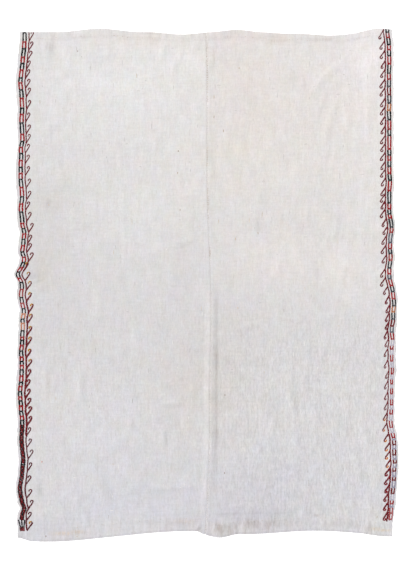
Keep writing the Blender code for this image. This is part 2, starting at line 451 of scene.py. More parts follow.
# Soft patches on the ivory, partly the cloth's own colour and partly painted light and shade: how much
# each one changes the ivory
Patch = namedtuple("Patch", "x y across along red green blue")
COLOUR_AND_LIGHT_PATCHES = table(
    Patch,
    # Wide ones: painted light, paler at the top, greyer at the bottom and warmer on the right
    (0, 1150, 1600, 950, 9.2, 8.6, 6.6),
    (100, 450, 1400, 450, 3.6, 3.6, 2.2),
    (840, 350, 360, 800, 3, 3, 2.2),
    (110, 1070, 160, 200, -1.5, -3.2, -3),
    (-450, 1000, 750, 550, 1, 1.2, 2.5),
    (450, 750, 700, 750, 3.5, 1.2, -1),
    (820, 850, 350, 750, 4, 4.2, 5),
    (0, -350, 1600, 550, -3.5, -3.4, -3.2),
    (0, -980, 1600, 500, -5.5, -4.5, -1.5),
    (450, -900, 550, 400, -2.5, -2, -1.5),
    (20, -500, 240, 500, -1, -2, -4.5),
    (120, -300, 200, 550, -1.5, -2.2, -3.2),
    (-450, 960, 600, 420, 3.8, 4.6, 3),
    (770, 1080, 200, 240, 10, 8, 8),
    (700, 840, 200, 160, 3, 1, -1),
    (530, 1030, 140, 160, 2.5, 1.8, 2.5),
    (-460, 1020, 140, 140, -1.8, -1.7, -0.5),
    (-100, 500, 120, 500, 1.8, 0.8, -0.2),
    (320, -580, 120, 140, -1.5, -1.7, -2.5),
    (200, 920, 260, 300, 0, -2.4, -3.6),
    (160, 600, 240, 300, 0, -1.5, -3.8),
    (-330, 330, 240, 240, 3, 4.2, 3.8),
    (450, 80, 550, 340, 3.5, 2.2, 1.2),
    (740, 100, 200, 380, 2, 1.5, 1),
    (-740, 0, 220, 500, -2, -2, -1.2),
    (-480, -650, 260, 360, 1.5, 1.8, 4.2),
    (-120, -480, 160, 420, 0, -1.4, -2.8),
    (240, -1000, 380, 240, -3.8, -5.2, -3.6),
    (-720, -1140, 260, 100, -7, -7, -4.2),
    (-100, -1120, 180, 80, -4.2, -6.5, -5),
    (600, -1130, 360, 60, -3.5, -3.5, -3.5),
    (-400, -1030, 500, 160, -1.5, -0.8, 2.2),
    # The pink of the upper hem and the yellow under it
    (-300, 1140, 400, 70, 0, -3.5, -6),
    (250, 1150, 360, 50, 0, -3, -4.5),
    # Smaller ones, partly the cloth's own colour and partly painted light and shade of swells and creases
    (300, 120, 360, 180, 5, 3, 1.5),
    (620, 60, 180, 200, 5, 4.2, 2),
    (-740, 420, 160, 160, -4, -4.5, -5.5),
    (-760, 180, 200, 320, -3.8, -4.2, -5),
    (-720, -200, 260, 360, -1.5, -1.5, -1.5),
    (-660, 480, 120, 30, -1.8, -1.8, -1.8),
    (-110, 40, 80, 280, -1.6, -2.8, -2.8),
    (-420, -30, 90, 220, -1.4, -1.4, -1.4),
    (-280, 170, 110, 90, 1, 1, 1),
    (-460, 940, 280, 50, 2.2, 2.2, 2.6),
    (-50, 1020, 160, 200, 1.6, 1.8, 1),
    (-715, 1090, 35, 70, -3.5, -4, -5),
    (240, 850, 100, 150, -1.5, -1.8, -1.5),
    (320, 880, 40, 60, 1.8, 2.2, 3),
    (220, 290, 70, 60, -1.8, -2, -2.5),
    # Painted shadow that the raised edge of the left width casts beside the seam
    (30, 700, 45, 600, -2.8, -3.4, -4.5),
    (240, -230, 160, 60, -1.2, -1.2, -1.2),
    (230, -1070, 340, 55, -7, -6.4, -4),
    (200, -1130, 340, 60, -5, -5.5, -6.5),
    (-750, 70, 70, 160, 0, -1.5, -6),
    (-780, -950, 30, 60, -5, -5.5, -7),
)

# Lighter and darker strokes on the cloth: mostly painted light and shade beside creases and ridges, and
# some soiling
ShadeMark = namedtuple("ShadeMark", "x y turn along across tone")
SHADE_AND_SOIL_MARKS = table(
    ShadeMark,
    # Painted shade in the crease beside the seam's ridge, and painted light on the ridge's lit side
    (46, -100, 90, 160, 16, -3.5),
    (52, -350, 90, 90, 15, -9),
    (55, -500, 90, 300, 22, -4.5),
    (52, -715, 90, 70, 14, -9),
    (47, -860, 90, 80, 11, -7),
    (-8, -500, 90, 140, 22, 3),
    (-18, -1010, 90, 140, 22, 6),
    (-52, -500, 90, 110, 20, -3),
    # Right width, upper half
    (508, 885, 80, 34, 24, -5.5),
    (412, 950, 82, 70, 26, -3.2),
    (385, 830, 90, 30, 18, -5),
    (290, 960, 90, 40, 24, 3),
    (252, 845, 90, 60, 26, 3.2),
    (340, 770, 90, 50, 30, -2.2),
    (735, 960, 88, 220, 40, 3),
    (690, 700, 85, 80, 30, 3),
    (240, 270, 90, 55, 20, -4.5),
    (440, 275, 92, 50, 30, -4.2),
    (220, 540, 90, 36, 24, -2.6),
    (135, 370, 90, 70, 14, -2.8),
    (750, 400, 80, 90, 50, 3.4),
    (518, 55, 92, 80, 30, -4.5),
    (400, 150, 85, 70, 40, 3),
    (150, 140, 85, 90, 45, 3),
    (620, 130, 75, 90, 34, 2.8),
    # Right width, lower half
    (660, -35, 90, 50, 50, 3.4),
    (420, -184, 0, 40, 15, -5),
    (200, -206, 0, 22, 14, -5.5),
    (301, -322, 90, 18, 14, -5.5),
    (416, -560, 92, 70, 16, -4.5),
    (375, -500, 93, 120, 26, 2.6),
    (530, -612, 110, 36, 14, -5),
    (680, -662, 85, 32, 16, -4.5),
    (570, -490, 90, 90, 40, 2.2),
    (672, -825, 8, 45, 13, -5.5),
    (665, -884, 0, 22, 13, -5),
    (280, -907, 1, 150, 10, -3.5),
    (777, -925, 95, 60, 22, 4.5),
    (765, -1122, 80, 26, 14, -9),
    # Left width, upper half
    (-722, 1098, 92, 55, 26, -5),
    (-664, 1090, 90, 70, 24, 3.4),
    (-470, 1048, 10, 70, 32, -3.8),
    (-520, 975, 90, 40, 50, 2.4),
    (-370, 930, 0, 150, 34, 3),
    (-645, 938, 0, 36, 36, 3.8),
    (-560, 912, 60, 30, 20, -3.4),
    (-439, 842, 90, 20, 14, -6),
    (-245, 718, 0, 18, 12, -5),
    (-322, 800, 80, 24, 16, -3.4),
    (-640, 455, 0, 80, 40, -4),
    (-738, 380, 50, 34, 26, -8.5),
    (-632, 330, 90, 55, 36, 4),
    (-548, 385, 60, 45, 22, 2.8),
    (-515, 205, 90, 60, 14, 4.5),
    (-506, 420, 90, 30, 10, -4),
    (-100, 184, 12, 55, 11, -6.5),
    (-148, 225, 100, 32, 14, -3.4),
    (-455, 120, 85, 45, 20, -3.4),
    (-245, 170, 0, 60, 34, 2.6),
    (-130, 105, 70, 50, 20, -3.2),
    # Left width, lower half
    (-512, -70, 90, 120, 22, 3.6),
    (-345, -220, 94, 150, 26, 3.6),
    (-474, -165, 90, 45, 24, -3.4),
    (-200, -190, 90, 70, 40, -3.2),
    (-680, -150, 90, 110, 18, -2.2),
    (-597, -460, 90, 70, 18, 3.4),
    (-562, -532, 90, 32, 18, -4),
    (-170, -566, 3, 75, 14, -5.5),
    (-732, -690, 90, 24, 18, 5),
    (-395, -755, 90, 45, 28, -3.2),
    (-188, -712, 90, 52, 12, -5.5),
    (-776, -900, 92, 110, 16, -6),
    (-772, -960, 90, 30, 20, -7.5),
    (-660, -900, 92, 90, 26, 2.4),
    (-452, -960, 105, 70, 22, -4.5),
    (-130, -960, 2, 130, 12, -3.4),
    (-32, -1134, 40, 16, 12, -16),
    # Painted shade along the lines where the lower hems are turned
    (130, -1066.5, 1, 160, 7, -11),
    (300, -1064, 1, 110, 7, -10),
    (-220, -1058, 1, 190, 6, -4),
    (-220, -1072, 1, 190, 6, -4),
    (-200, -1095, 1, 170, 6, -4),
)

# Darker lines along the upper hems: how far in from the end's edge, and how much darker
HemLine = namedtuple("HemLine", "x reach inset half_width tone")
UPPER_HEM_LINES = table(
    HemLine,
    (300, 90, 19, 10, -8),
    (510, 150, 24, 10, -11),
    (690, 90, 26, 6, -5),
    (-330, 180, 26, 6, -4),
    (-90, 100, 22, 6, -3),
    (-270, 80, 8, 8, -10.5),
)
# Painted shade along the folded rim at the lower end, which is darker there
RIM_SHADE_INSET = 0.006
RIM_SHADE_REACH = 0.009
RIM_SHADE_TINT = (0.915, 0.915, 0.930)

# Brownish soiling, strongest at the hems
Stain = namedtuple("Stain", "x y across along strength")
BROWN_STAINS = table(
    Stain,
    (-600, -1152, 60, 16, 0.35),
    (-100, -1108, 90, 18, 0.3),
    (60, -1135, 60, 45, 0.8),
    (115, -1132, 40, 45, 0.75),
    (200, -1112, 90, 36, 0.42),
    (300, -1118, 70, 45, 0.45),
    (420, -1112, 80, 26, 0.15),
    (560, -1116, 140, 20, 0.15),
    (690, -1122, 70, 24, 0.15),
    (780, -1136, 50, 18, 0.35),
    (512, -1073, 26, 12, 0.8),
    (100, 1155, 30, 14, 0.5),
    (20, 1155, 40, 20, 0.3),
    (320, 1134, 60, 16, 0.45),
    (565, 1146, 50, 12, 0.6),
    (-600, 1158, 100, 16, 0.25),
    (-730, 1110, 40, 36, 0.4),
    (4, 1100, 10, 60, 0.55),
    (36, 1060, 20, 90, 0.45),
    (6, 980, 10, 80, 0.45),
    (8, 605, 10, 60, 0.45),
    (10, 380, 10, 80, 0.5),
    (16, 155, 12, 30, 0.65),
    (47, -325, 12, 50, 0.6),
    (49, -700, 12, 60, 0.55),
    (47, -480, 9, 450, 0.35),
)
# Yellowing
YELLOW_STAINS = table(
    Stain,
    (-670, -1157, 110, 16, 0.6),
    (-600, -1150, 50, 14, 0.6),
    (830, -1143, 50, 10, 1),
    (795, -1136, 40, 14, 0.7),
    (-100, -1100, 90, 16, 0.35),
)


def spot(item, x, y):
    """One at an item's middle, falling to nothing at its reach across x and along y."""
    return soft_bump(x - item.x, item.across) * soft_bump(y - item.y, item.along)


def tint_at(x, y):
    """Colour that multiplies the ivory at each point, with its painted light and shade."""
    tint = np.ones((len(x), 4))
    for patch in COLOUR_AND_LIGHT_PATCHES:
        tint[:, :3] *= 1.0 + spot(patch, x, y)[:, None] * np.array((patch.red, patch.green, patch.blue))
    tone = np.ones(len(x))
    # Painted light and shade of the creases and ridges, and some soiling
    for shade_mark in SHADE_AND_SOIL_MARKS:
        along, across = along_and_across(shade_mark, x, y)
        tone *= 1.0 + shade_mark.tone * soft_bump(along, shade_mark.along) * soft_bump(across, shade_mark.across)
    from_top = top_edge_y(x) - y
    for line in UPPER_HEM_LINES:
        share = soft_bump(x - line.x, line.reach) * soft_bump(from_top - line.inset, line.half_width)
        tone *= 1.0 + line.tone * share
    # Painted shade along the lower rim
    rim_shade = soft_bump(y - bottom_edge_y(x) - RIM_SHADE_INSET, RIM_SHADE_REACH)
    tint[:, :3] *= tone[:, None] * (1.0 - rim_shade[:, None] * (1.0 - np.array(RIM_SHADE_TINT)))
    return tint


# How strongly the threads differ from each other: more towards the lower right
UPPER_GRAIN = 0.84
LOWER_LEFT_GRAIN = 1.10
LOWER_RIGHT_GRAIN = 1.50
GRAIN_FROM_Y = 0.10
GRAIN_TO_Y = -0.45
GRAIN_ACROSS = (-0.10, 0.25)
# Gathers of the hems, as a share of the strongest
UPPER_GATHERS = 0.45
LOWER_LEFT_GATHERS = 0.40
GATHER_WIDTH = 0.030
LOWER_GATHER_WIDTH = 0.085
# They are at their strongest within this share of their width
FULL_GATHERS = 0.6
UPPER_GATHERS_REACH = 1.6
# The lower ones begin at the seam with full strength, and fade a little way to the right of it
GATHERS_BEGIN = (0.0, 0.03)
GATHERS_FADE = (0.30, 0.42)
FADED_GATHERS = 0.25


def grain_at(x, y):
    low_down = smooth_share(y, GRAIN_FROM_Y, GRAIN_TO_Y)
    to_right = smooth_share(x, *GRAIN_ACROSS)
    lower = LOWER_LEFT_GRAIN + (LOWER_RIGHT_GRAIN - LOWER_LEFT_GRAIN) * to_right
    return UPPER_GRAIN + (lower - UPPER_GRAIN) * low_down


def gathers_at(x, y):
    from_top = (top_edge_y(x) - y, UPPER_GATHERS_REACH * GATHER_WIDTH, FULL_GATHERS * GATHER_WIDTH)
    top = UPPER_GATHERS * smooth_share(*from_top)
    to_right = smooth_share(x, *GATHERS_BEGIN)
    fading = to_right * (1.0 - (1.0 - FADED_GATHERS) * smooth_share(x, *GATHERS_FADE))
    low = LOWER_LEFT_GATHERS * (1.0 - to_right) + fading
    from_bottom = (y - bottom_edge_y(x), LOWER_GATHER_WIDTH, FULL_GATHERS * LOWER_GATHER_WIDTH)
    bottom = low * smooth_share(*from_bottom)
    return np.maximum(top, bottom)


def stain_at(x, y, stains):
    return np.max([stain.strength * spot(stain, x, y) for stain in stains], axis=0)


# Cloth sheets

def lip_height(distance, radius):
    """Share of the full thickness at this distance in from the sheet's rim: a rounded lip."""
    share = np.clip(distance / radius, 0.0, 1.0)
    return np.sqrt(np.clip(1.0 - (1.0 - share) ** 2, 0.0, 1.0))


def selvedge_loops(y, seam_side):
    """How far the cloth's outer rim stands past the line of the edge."""
    if seam_side < 0:
        return LEFT_LOOPS + wander(y, LEFT_DRAWN)
    return RIGHT_LOOPS + wander(y, RIGHT_DRAWN)


def panel_points(outer_edge_x, seam_side, columns, rows, width, fray):
    """x and y of the sheet's grid, with each row's and column's distance from the sheet's rims."""
    length = TOP_EDGE_Y - BOTTOM_EDGE_Y
    across = (columns / width)[None, :]
    along = (rows / length)[:, None]
    level = BOTTOM_EDGE_Y + rows[:, None]
    near_x = outer_edge_x(level) * (1.0 - across) + SEAM_X * across
    waves = LEFT_BOTTOM_WAVES if seam_side < 0 else RIGHT_BOTTOM_WAVES
    low_y = BOTTOM_EDGE_Y - wander(near_x, waves)
    high_y = top_edge_y(near_x)
    y = low_y + along * (high_y - low_y)
    outer_x = outer_edge_x(y) + seam_side * selvedge_loops(y, seam_side) + fray[:, None]
    inner_x = seam_x(y) + seam_side * 0.5 * SEAM_GAP
    x = outer_x * (1.0 - across) + inner_x * across
    return x, y


def quads(grid, flipped):
    """Faces between the neighbours in a grid of point numbers."""
    corners = [grid[:-1, :-1], grid[:-1, 1:], grid[1:, 1:], grid[1:, :-1]]
    faces = np.column_stack([corner.ravel() for corner in corners])
    return faces[:, ::-1] if flipped else faces


def build_cloth(name, outer_edge_x, seam_side, material):
    """A closed thin sheet: a top and an underside grid that share their rim.

    seam_side is -1 for the width left of the seam and 1 for the one right of it.
    """
    rng = np.random.default_rng(SEED + 1 + seam_side)
    width = abs(SEAM_X - outer_edge_x(WIDTH_AT_Y))
    columns = column_distances(width)
    rows = row_distances()
    fray_lengths = (EDGE_FRAY_LENGTH, 4.0 * EDGE_FRAY_LENGTH)
    fray = EDGE_FRAY * ripple(rows[:, None], fray_lengths, EDGE_FRAY_COUNT, rng)
    x, y = panel_points(outer_edge_x, seam_side, columns, rows, width, fray)
    from_outer = columns[None, :]
    from_seam = (width - columns)[None, :]
    from_ends = np.minimum(rows, rows[-1] - rows)[:, None]
    full = thickness(x, y) + wander(from_outer, OUTER_SWELLS) + wander(from_seam, SEAM_SWELLS)
    middle = lift(x, y) + 0.5 * full
    free_lip = lip_height(np.minimum(from_outer, from_ends), LIP_RADIUS)
    half = 0.5 * full * np.minimum(free_lip, lip_height(from_seam, SEAM_LIP_RADIUS))

    index = np.arange(x.size).reshape(x.shape)
    inner = np.zeros(x.shape, bool)
    inner[1:-1, 1:-1] = True
    under_index = index.copy()
    under_index[inner] = index.size + np.arange(inner.sum())
    points = np.column_stack((x.ravel(), y.ravel(), (middle + half).ravel()))
    under_points = np.column_stack((x[inner], y[inner], (middle - half)[inner]))
    vertices = np.vstack((points, under_points))
    faces = np.vstack((quads(index, seam_side > 0), quads(under_index, seam_side < 0)))
    mesh = mesh_from(name, vertices, faces)
    x, y = vertices[:, 0], vertices[:, 1]
    add_colour(mesh, "tint", tint_at(x, y))
    add_value(mesh, "brown", stain_at(x, y, BROWN_STAINS))
    add_value(mesh, "yellow", stain_at(x, y, YELLOW_STAINS))
    add_value(mesh, "grain", grain_at(x, y))
    add_value(mesh, "gathers", gathers_at(x, y))
    mesh.materials.append(material)
    return link(name, mesh)


# Mesh helpers

def mesh_from(name, vertices, faces):
    """A smooth mesh from an array of points and an array of faces that all have as many corners."""
    mesh = bpy.data.meshes.new(name)
    count, corners = faces.shape
    mesh.vertices.add(len(vertices))
    mesh.vertices.foreach_set("co", np.asarray(vertices, np.float32).ravel())
    mesh.loops.add(count * corners)
    mesh.loops.foreach_set("vertex_index", faces.astype(np.int32).ravel())
    mesh.polygons.add(count)
    mesh.polygons.foreach_set("loop_start", np.arange(0, count * corners, corners, dtype=np.int32))
    mesh.update(calc_edges=True)
    mesh.shade_smooth()
    return mesh


def add_colour(mesh, name, colours):
    attribute = mesh.attributes.new(name, "FLOAT_COLOR", "POINT")
    attribute.data.foreach_set("color", np.asarray(colours, np.float32).ravel())


def add_value(mesh, name, values):
    attribute = mesh.attributes.new(name, "FLOAT", "POINT")
    attribute.data.foreach_set("value", np.asarray(values, np.float32))


def link(name, mesh):
    piece = bpy.data.objects.new(name, mesh)
    bpy.context.scene.collection.objects.link(piece)
    return piece


# Stitches: every wrap, sewing stitch and slub is one small rounded lozenge of yarn

Stitch = namedtuple("Stitch", "x y angle half_length half_width yarn")

STITCH_SIDES = 6
# Along the stitch from -1 to 1, and the share of its full girth there
STITCH_RINGS = ((-0.80, 0.62), (-0.35, 1.0), (0.35, 1.0), (0.80, 0.62))
WRAP_ABOVE = 0.0009
WRAP_ABOVE_SPREAD = (0.8, 1.2)
WRAP_BELOW = 0.00025
THREAD_HALF_HEIGHT = 0.00055
SLUB_HALF_HEIGHT = 0.00028
# How far the middle of a thread lies above the cloth, as a share of its half height
THREAD_RISE = 0.27


def stitch_template():
    """Points as (along, across, up), each from -1 to 1, and the triangles between them."""
    points = [(-1.0, 0.0, 0.0)]
    for along, girth in STITCH_RINGS:
        for side in range(STITCH_SIDES):
            turn = math.tau * side / STITCH_SIDES
            points.append((along, girth * math.cos(turn), girth * math.sin(turn)))
    points.append((1.0, 0.0, 0.0))
    last = len(points) - 1
    triangles = []
    for side in range(STITCH_SIDES):
        after = (side + 1) % STITCH_SIDES
        triangles.append((0, 1 + after, 1 + side))
        for ring in range(len(STITCH_RINGS) - 1):
            low = 1 + ring * STITCH_SIDES
            high = low + STITCH_SIDES
            triangles.append((low + side, low + after, high + after))
            triangles.append((low + side, high + after, high + side))
        top = last - STITCH_SIDES
        triangles.append((last, top + side, top + after))
    return np.array(points), np.array(triangles)


def build_stitches(name, stitches, yarns, seed, lying=None):
    """One mesh of many stitches. They are wrapped round the cloth and show on both of its faces,
    or else they lie on it with this half height."""
    rng = np.random.default_rng(seed)
    template, triangles = stitch_template()
    count = len(stitches)
    numbers = np.array([stitch[:5] for stitch in stitches], float)
    x, y, angle, half_length, half_width = numbers.T[:, :, None]
    ahead_x, ahead_y = np.cos(angle), np.sin(angle)
    head = lift(x + ahead_x * half_length, y + ahead_y * half_length)
    tail = lift(x - ahead_x * half_length, y - ahead_y * half_length)
    base = 0.5 * (head + tail)
    cloth = thickness(x, y)
    if lying is None:
        above = WRAP_ABOVE * rng.uniform(*WRAP_ABOVE_SPREAD, (count, 1))
        middle = base + 0.5 * (cloth + above - WRAP_BELOW)
        half_height = 0.5 * (cloth + above + WRAP_BELOW)
    else:
        middle = base + cloth + THREAD_RISE * lying
        half_height = np.minimum(half_width, lying)
    along, across, up = template.T
    forward = half_length * along
    sideways = half_width * across
    points = (
        x + ahead_x * forward - ahead_y * sideways,
        y + ahead_y * forward + ahead_x * sideways,
        middle + half_height * up + 0.5 * (head - tail) * along,
    )
    faces = triangles[None, :, :] + (np.arange(count) * len(template))[:, None, None]
    mesh = mesh_from(name, np.stack(points, axis=2).reshape(-1, 3), faces.reshape(-1, 3))
    used = sorted({stitch.yarn for stitch in stitches})
    for yarn in used:
        mesh.materials.append(yarns[yarn])
    index = np.array([used.index(stitch.yarn) for stitch in stitches])
    mesh.polygons.foreach_set("material_index", np.repeat(index, len(triangles)).astype(np.int32))
    add_value(mesh, "shade", np.repeat(rng.uniform(0.0, 1.0, count), len(template)))
    return link(name, mesh)


def rounded(points, rounds=2):
    """A path with its corners cut, so that it bends softly."""
    path = np.array(points, float)
    for _ in range(rounds):
        near = 0.75 * path[:-1] + 0.25 * path[1:]
        far = 0.25 * path[:-1] + 0.75 * path[1:]
        middle = np.empty((2 * len(near), 2))
        middle[0::2] = near
        middle[1::2] = far
        path = np.vstack((path[:1], middle, path[-1:]))
    return path


WRAP_PITCH = 0.0028
WRAP_HALF_WIDTH = 0.0019
WRAP_SLANT = math.radians(32.0)
# How unevenly the wraps are turned, placed along x and y, and sized
WRAP_TURN_SPREAD = 0.07
WRAP_X_SPREAD = 0.00025
WRAP_Y_SPREAD = 0.00020
WRAP_LENGTH_SPREAD = (0.88, 1.12)
WRAP_WIDTH_SPREAD = (0.9, 1.1)


def wrap_along(points, stroke, yarn, rng, slant=WRAP_SLANT, taper=0.0, last_yarn=None, last_share=0.0):
    """Stitches that wrap across a path one after the other.

    The stroke narrows by the taper towards the end. The last share of it may change yarn.
    """
    path = np.array(points, float)
    steps = np.hypot(*(path[1:] - path[:-1]).T)
    reached = np.concatenate(([0.0], np.cumsum(steps)))
    count = max(1, round(reached[-1] / WRAP_PITCH))
    made = []
    for i in range(count):
        share = (i + 0.5) / count
        at = share * reached[-1]
        x = np.interp(at, reached, path[:, 0])
        y = np.interp(at, reached, path[:, 1])
        segment = min(np.searchsorted(reached, at, side="right") - 1, len(steps) - 1)
        ahead = path[segment + 1] - path[segment]
        angle = math.atan2(ahead[1], ahead[0]) + 0.5 * math.pi - slant + rng.normal(0.0, WRAP_TURN_SPREAD)
        half = 0.5 * stroke * (1.0 - taper * share) * rng.uniform(*WRAP_LENGTH_SPREAD) / math.cos(slant)
        changed = last_yarn is not None and share > 1.0 - last_share
        x += rng.normal(0.0, WRAP_X_SPREAD)
        y += rng.normal(0.0, WRAP_Y_SPREAD)
        half_width = WRAP_HALF_WIDTH * rng.uniform(*WRAP_WIDTH_SPREAD)
        made.append(Stitch(x, y, angle, half, half_width, last_yarn if changed else yarn))
    return made


# Borders. Each is a ladder of two lines with rungs near the edge, and inside it a spine with hooks.
# The right border is the left one turned half round, so its blocks close and its hooks hang downwards.

Border = namedtuple(
    "Border",
    "edge inward upward margin ladder spine drift spread spine_drift start root_drop"
    " sections hook_runs hook_shape",
)
Section = namedtuple("Section", "end weight blocks")
# A run of hooks: where it ends, how many there are, their yarn and that of their tips, the
# stroke, and how far they reach in as a share of the hook shape
HookRun = namedtuple("HookRun", "end count yarn tip stroke share", defaults=(1.0,))

LADDER_STROKE = 0.0096
RUNG_STROKE = 0.0088
SPINE_TO_HOOK_STROKE = 0.97
HOOK_TAPER = 0.24
RUNG_SLANT = 0.2
FILLING_SLANT = 0.3
BLOCK_PINCH = 0.0009
BULGE = 0.0014
BLOCK_JITTER = 0.015
# How far a block's pinch reaches, as a share of the block's length
PINCH_REACH = 0.7
LINE_SPREAD = (0.9, 1.08)
LINE_STEP = 0.006
SPINE_SPREAD = (0.9, 1.1)
HOOK_Y_SPREAD = 0.0015
HOOK_SIZE_SPREAD = (0.95, 1.05)
HOOK_LEAN_SPREAD = (0.93, 1.07)
HOOK_TIP_SHARE = 0.26
SPINE_KINK = 0.0014
SPINE_KINK_REACH = 0.012
# How far a stitch may stand past the cloth's end
STITCH_OVERHANG = 0.0010

# Each section lists its blocks from the top end down: a letter for the yarn, which is in
# YARN_OF, and the block's length as a share of the section. The weight multiplies its strokes
LEFT_SECTIONS = table(
    Section,
    (873, 1.08, "K9.3 R6.7 K8.6 R6.4 K6.4 R7.9 K5 R7.1 K8.6"),
    (706, 1.08, "R9 K6 R8 K11"),
    (496, 1.06, "R7 K6 R6 K7 R7 K6 R6"),
    (291, 1.03, "K8 R9 K7 R8 K11"),
    (16, 1.02, "R5 K5 R5 K6 R6 K5 R5 K5 R4 K6 R4"),
    (-82, 0.88, "K7 r8 K6"),
    (-239, 0.92, "r5 K5 t5 K4 t7 K6"),
    (-420, 1.08, "R3 K5 R5 K6 R4 K4 R4 K6"),
    (-651, 1.12, "R6 K4 R5 K5 R4 K5 R5 K5 R4 K5"),
    # The lower stretch is filled, with one open eye and a gap under it
    (-832, 1.12, "d4 k4 d3 k5 d3 k4 d3 k6 d2 k5"),
    (-912, 1.15, "e2.6 k4 d3 k3 d3 k3 d2"),
    (-1094, 1.12, "k5 d4 k5 d4 k5 d4 k5 d4 k4"),
)
RIGHT_SECTIONS = table(
    Section,
    (1026, 1.06, "K4 R5 K7 R5 K6 R8"),
    (844, 1.05, "K9 R6 G7 D8 G8"),
    (693, 1.05, "O7 K9 R9 K6"),
    (629, 1.12, "R13"),
    (436, 1.14, "K6 R5 G6 R7 K7 R10"),
    (378, 1.14, "K12"),
    (308, 1.14, "R6 K5 R4"),
    (193, 1.14, "G9 r5 B10"),
    (-7, 1.08, "R6 G5 r7 G8 R6 B5 R7"),
    (-256, 1, "G6 r7 K7 O6 G7 D7 B6 R7"),
    (-533, 0.86, "L6 R4 L5 r7 L6 R7 L5 R5 L4 R6 L5"),
    (-714, 0.86, "R6 L4 R5 L6 R7 L5 R5"),
    (-1004, 1, "l2 D5 l4 D6 l4 D4 l4 D4 l5 D4 l7 D6 L6"),
    (-1096, 1, "r4 l3 r6 r6"),
)
YARN_OF = {
    "K": "black",
    "R": "red",
    "D": "deep_red",
    "t": "tan_peach",
    "G": "grey_black",
    "B": "blue_grey",
    "O": "orange",
    "L": "pale_lilac",
    "l": "lilac",
    "r": "faded_red",
    "k": "black",
    "d": "deep_red",
    "e": "black",
}
# These blocks are closed: yarn of this colour is wrapped over the whole ladder between their lines
FILLED = {"k": "deep_red", "d": "black"}
BULGING = "kde"
FILLED_LINE_SHARE = 0.88

LEFT_HOOK_RUNS = table(
    HookRun,
    (877, 6, "plum", "plum", 8.4, 0.87),
    (706, 3, "plum", "plum", 8.2, 0.87),
    (568, 3, "plum", "plum", 7.2, 0.87),
    (399, 3, "plum", "plum", 7.6, 0.87),
    (195, 4, "plum", "plum", 8.8, 0.87),
    (108, 2, "plum", "plum", 9),
    (-23, 3, "plum", "mustard", 8.8),
    (-179, 3, "plum", "mustard", 11.2),
    (-387, 4, "maroon", "mustard", 12.5),
    (-528, 3, "maroon", "maroon", 12.8),
    (-653, 3, "maroon", "maroon", 13.5),
    (-808, 3, "wine", "wine", 8.4),
    (-993, 3, "wine", "wine", 9.5),
    (-1096, 2, "wine", "wine", 10),
    (-1144, 1, "wine", "mustard", 11.2),
)
RIGHT_HOOK_RUNS = table(
    HookRun,
    (1045, 3, "plum", "plum", 8.6),
    (699, 8, "plum", "plum", 9.3),
    (456, 6, "plum", "plum", 8.8),
    (390, 2, "plum", "plum", 9),
    (273, 3, "plum", "plum", 10),
    (139, 3, "plum", "plum", 9),
    (76, 1, "plum", "plum", 8.4),
    (-52, 3, "maroon", "maroon", 8.5),
    (-250, 5, "plum", "plum", 9.6, 0.78),
    (-594, 7, "plum", "plum", 7.2, 0.78),
    (-693, 2, "plum", "amber", 8, 0.88),
    (-852, 4, "maroon", "amber", 10),
    (-971, 3, "maroon", "crimson", 12.2, 1.1),
    (-1101, 3, "maroon", "crimson", 11.8),
)
# The shape of a hook from its root: distances inwards from the spine and along it
HookPoint = namedtuple("HookPoint", "inward along")
LEFT_HOOK = table(
    HookPoint,
    (0, 0), (11, 14.5), (21.5, 29.5), (23.5, 35.5), (19.5, 40.5), (13, 39.5), (10.5, 35), (10, 30),
)
RIGHT_HOOK = table(
    HookPoint,
    (0, 0), (9, 13), (18.5, 26.5), (22.5, 33.5), (19, 38.5), (13, 37.5), (11.3, 32.5), (11.3, 28.5),
)

# Unevenness along the borders, at y: how far the ladder drifts in from the edge, how much
# wider its two lines stand apart, and how much further the spine is from the ladder
LEFT_DRIFT = table(
    Wave,
    (1080, 120, 3), (1090, 45, 2.5), (976, 45, 2), (905, 60, 2), (864, 40, -1.5), (641, 50, -6),
    (529, 50, 2), (361, 40, -2.2), (305, 35, 2), (193, 40, 5), (40, 60, -4), (-254, 50, 2),
    (-300, 400, -2), (-450, 60, 2.4), (-590, 40, -3), (-955, 70, -3),
)
LEFT_SPINE_DRIFT = table(
    Wave,
    (700, 200, -3), (150, 350, -1.5), (-480, 150, 1.5), (-950, 200, 3), (-1050, 45, -6),
)
RIGHT_SPREAD = table(Wave, (-450, 260, -4))
RIGHT_SPINE_DRIFT = table(Wave, (-1050, 80, -4))
RIGHT_DRIFT = table(
    Wave,
    (1130, 100, 2), (976, 50, 2), (915, 45, 2), (809, 40, 2), (250, 90, -3), (190, 40, -3),
    (55, 50, 1), (-93, 45, -5), (-196, 35, 3), (-256, 40, -6), (-530, 180, -6), (-825, 40, -3),
    (-950, 80, -3), (-1090, 60, -4),
)
LEFT_BORDER = Border(
    edge=left_edge_x,
    inward=1,
    upward=1,
    margin=0.0140,
    ladder=0.0144,
    spine=0.0133,
    drift=LEFT_DRIFT,
    spread=(),
    spine_drift=LEFT_SPINE_DRIFT,
    start=1.180,
    root_drop=0.042,
    sections=LEFT_SECTIONS,
    hook_runs=LEFT_HOOK_RUNS,
    hook_shape=LEFT_HOOK,
)
RIGHT_BORDER = Border(
    edge=right_edge_x,
    inward=-1,
    upward=-1,
    margin=0.0122,
    ladder=0.0134,
    spine=0.0110,
    drift=RIGHT_DRIFT,
    spread=RIGHT_SPREAD,
    spine_drift=RIGHT_SPINE_DRIFT,
    start=1.192,
    root_drop=0.010,
    sections=RIGHT_SECTIONS,
    hook_runs=RIGHT_HOOK_RUNS,
    hook_shape=RIGHT_HOOK,
)

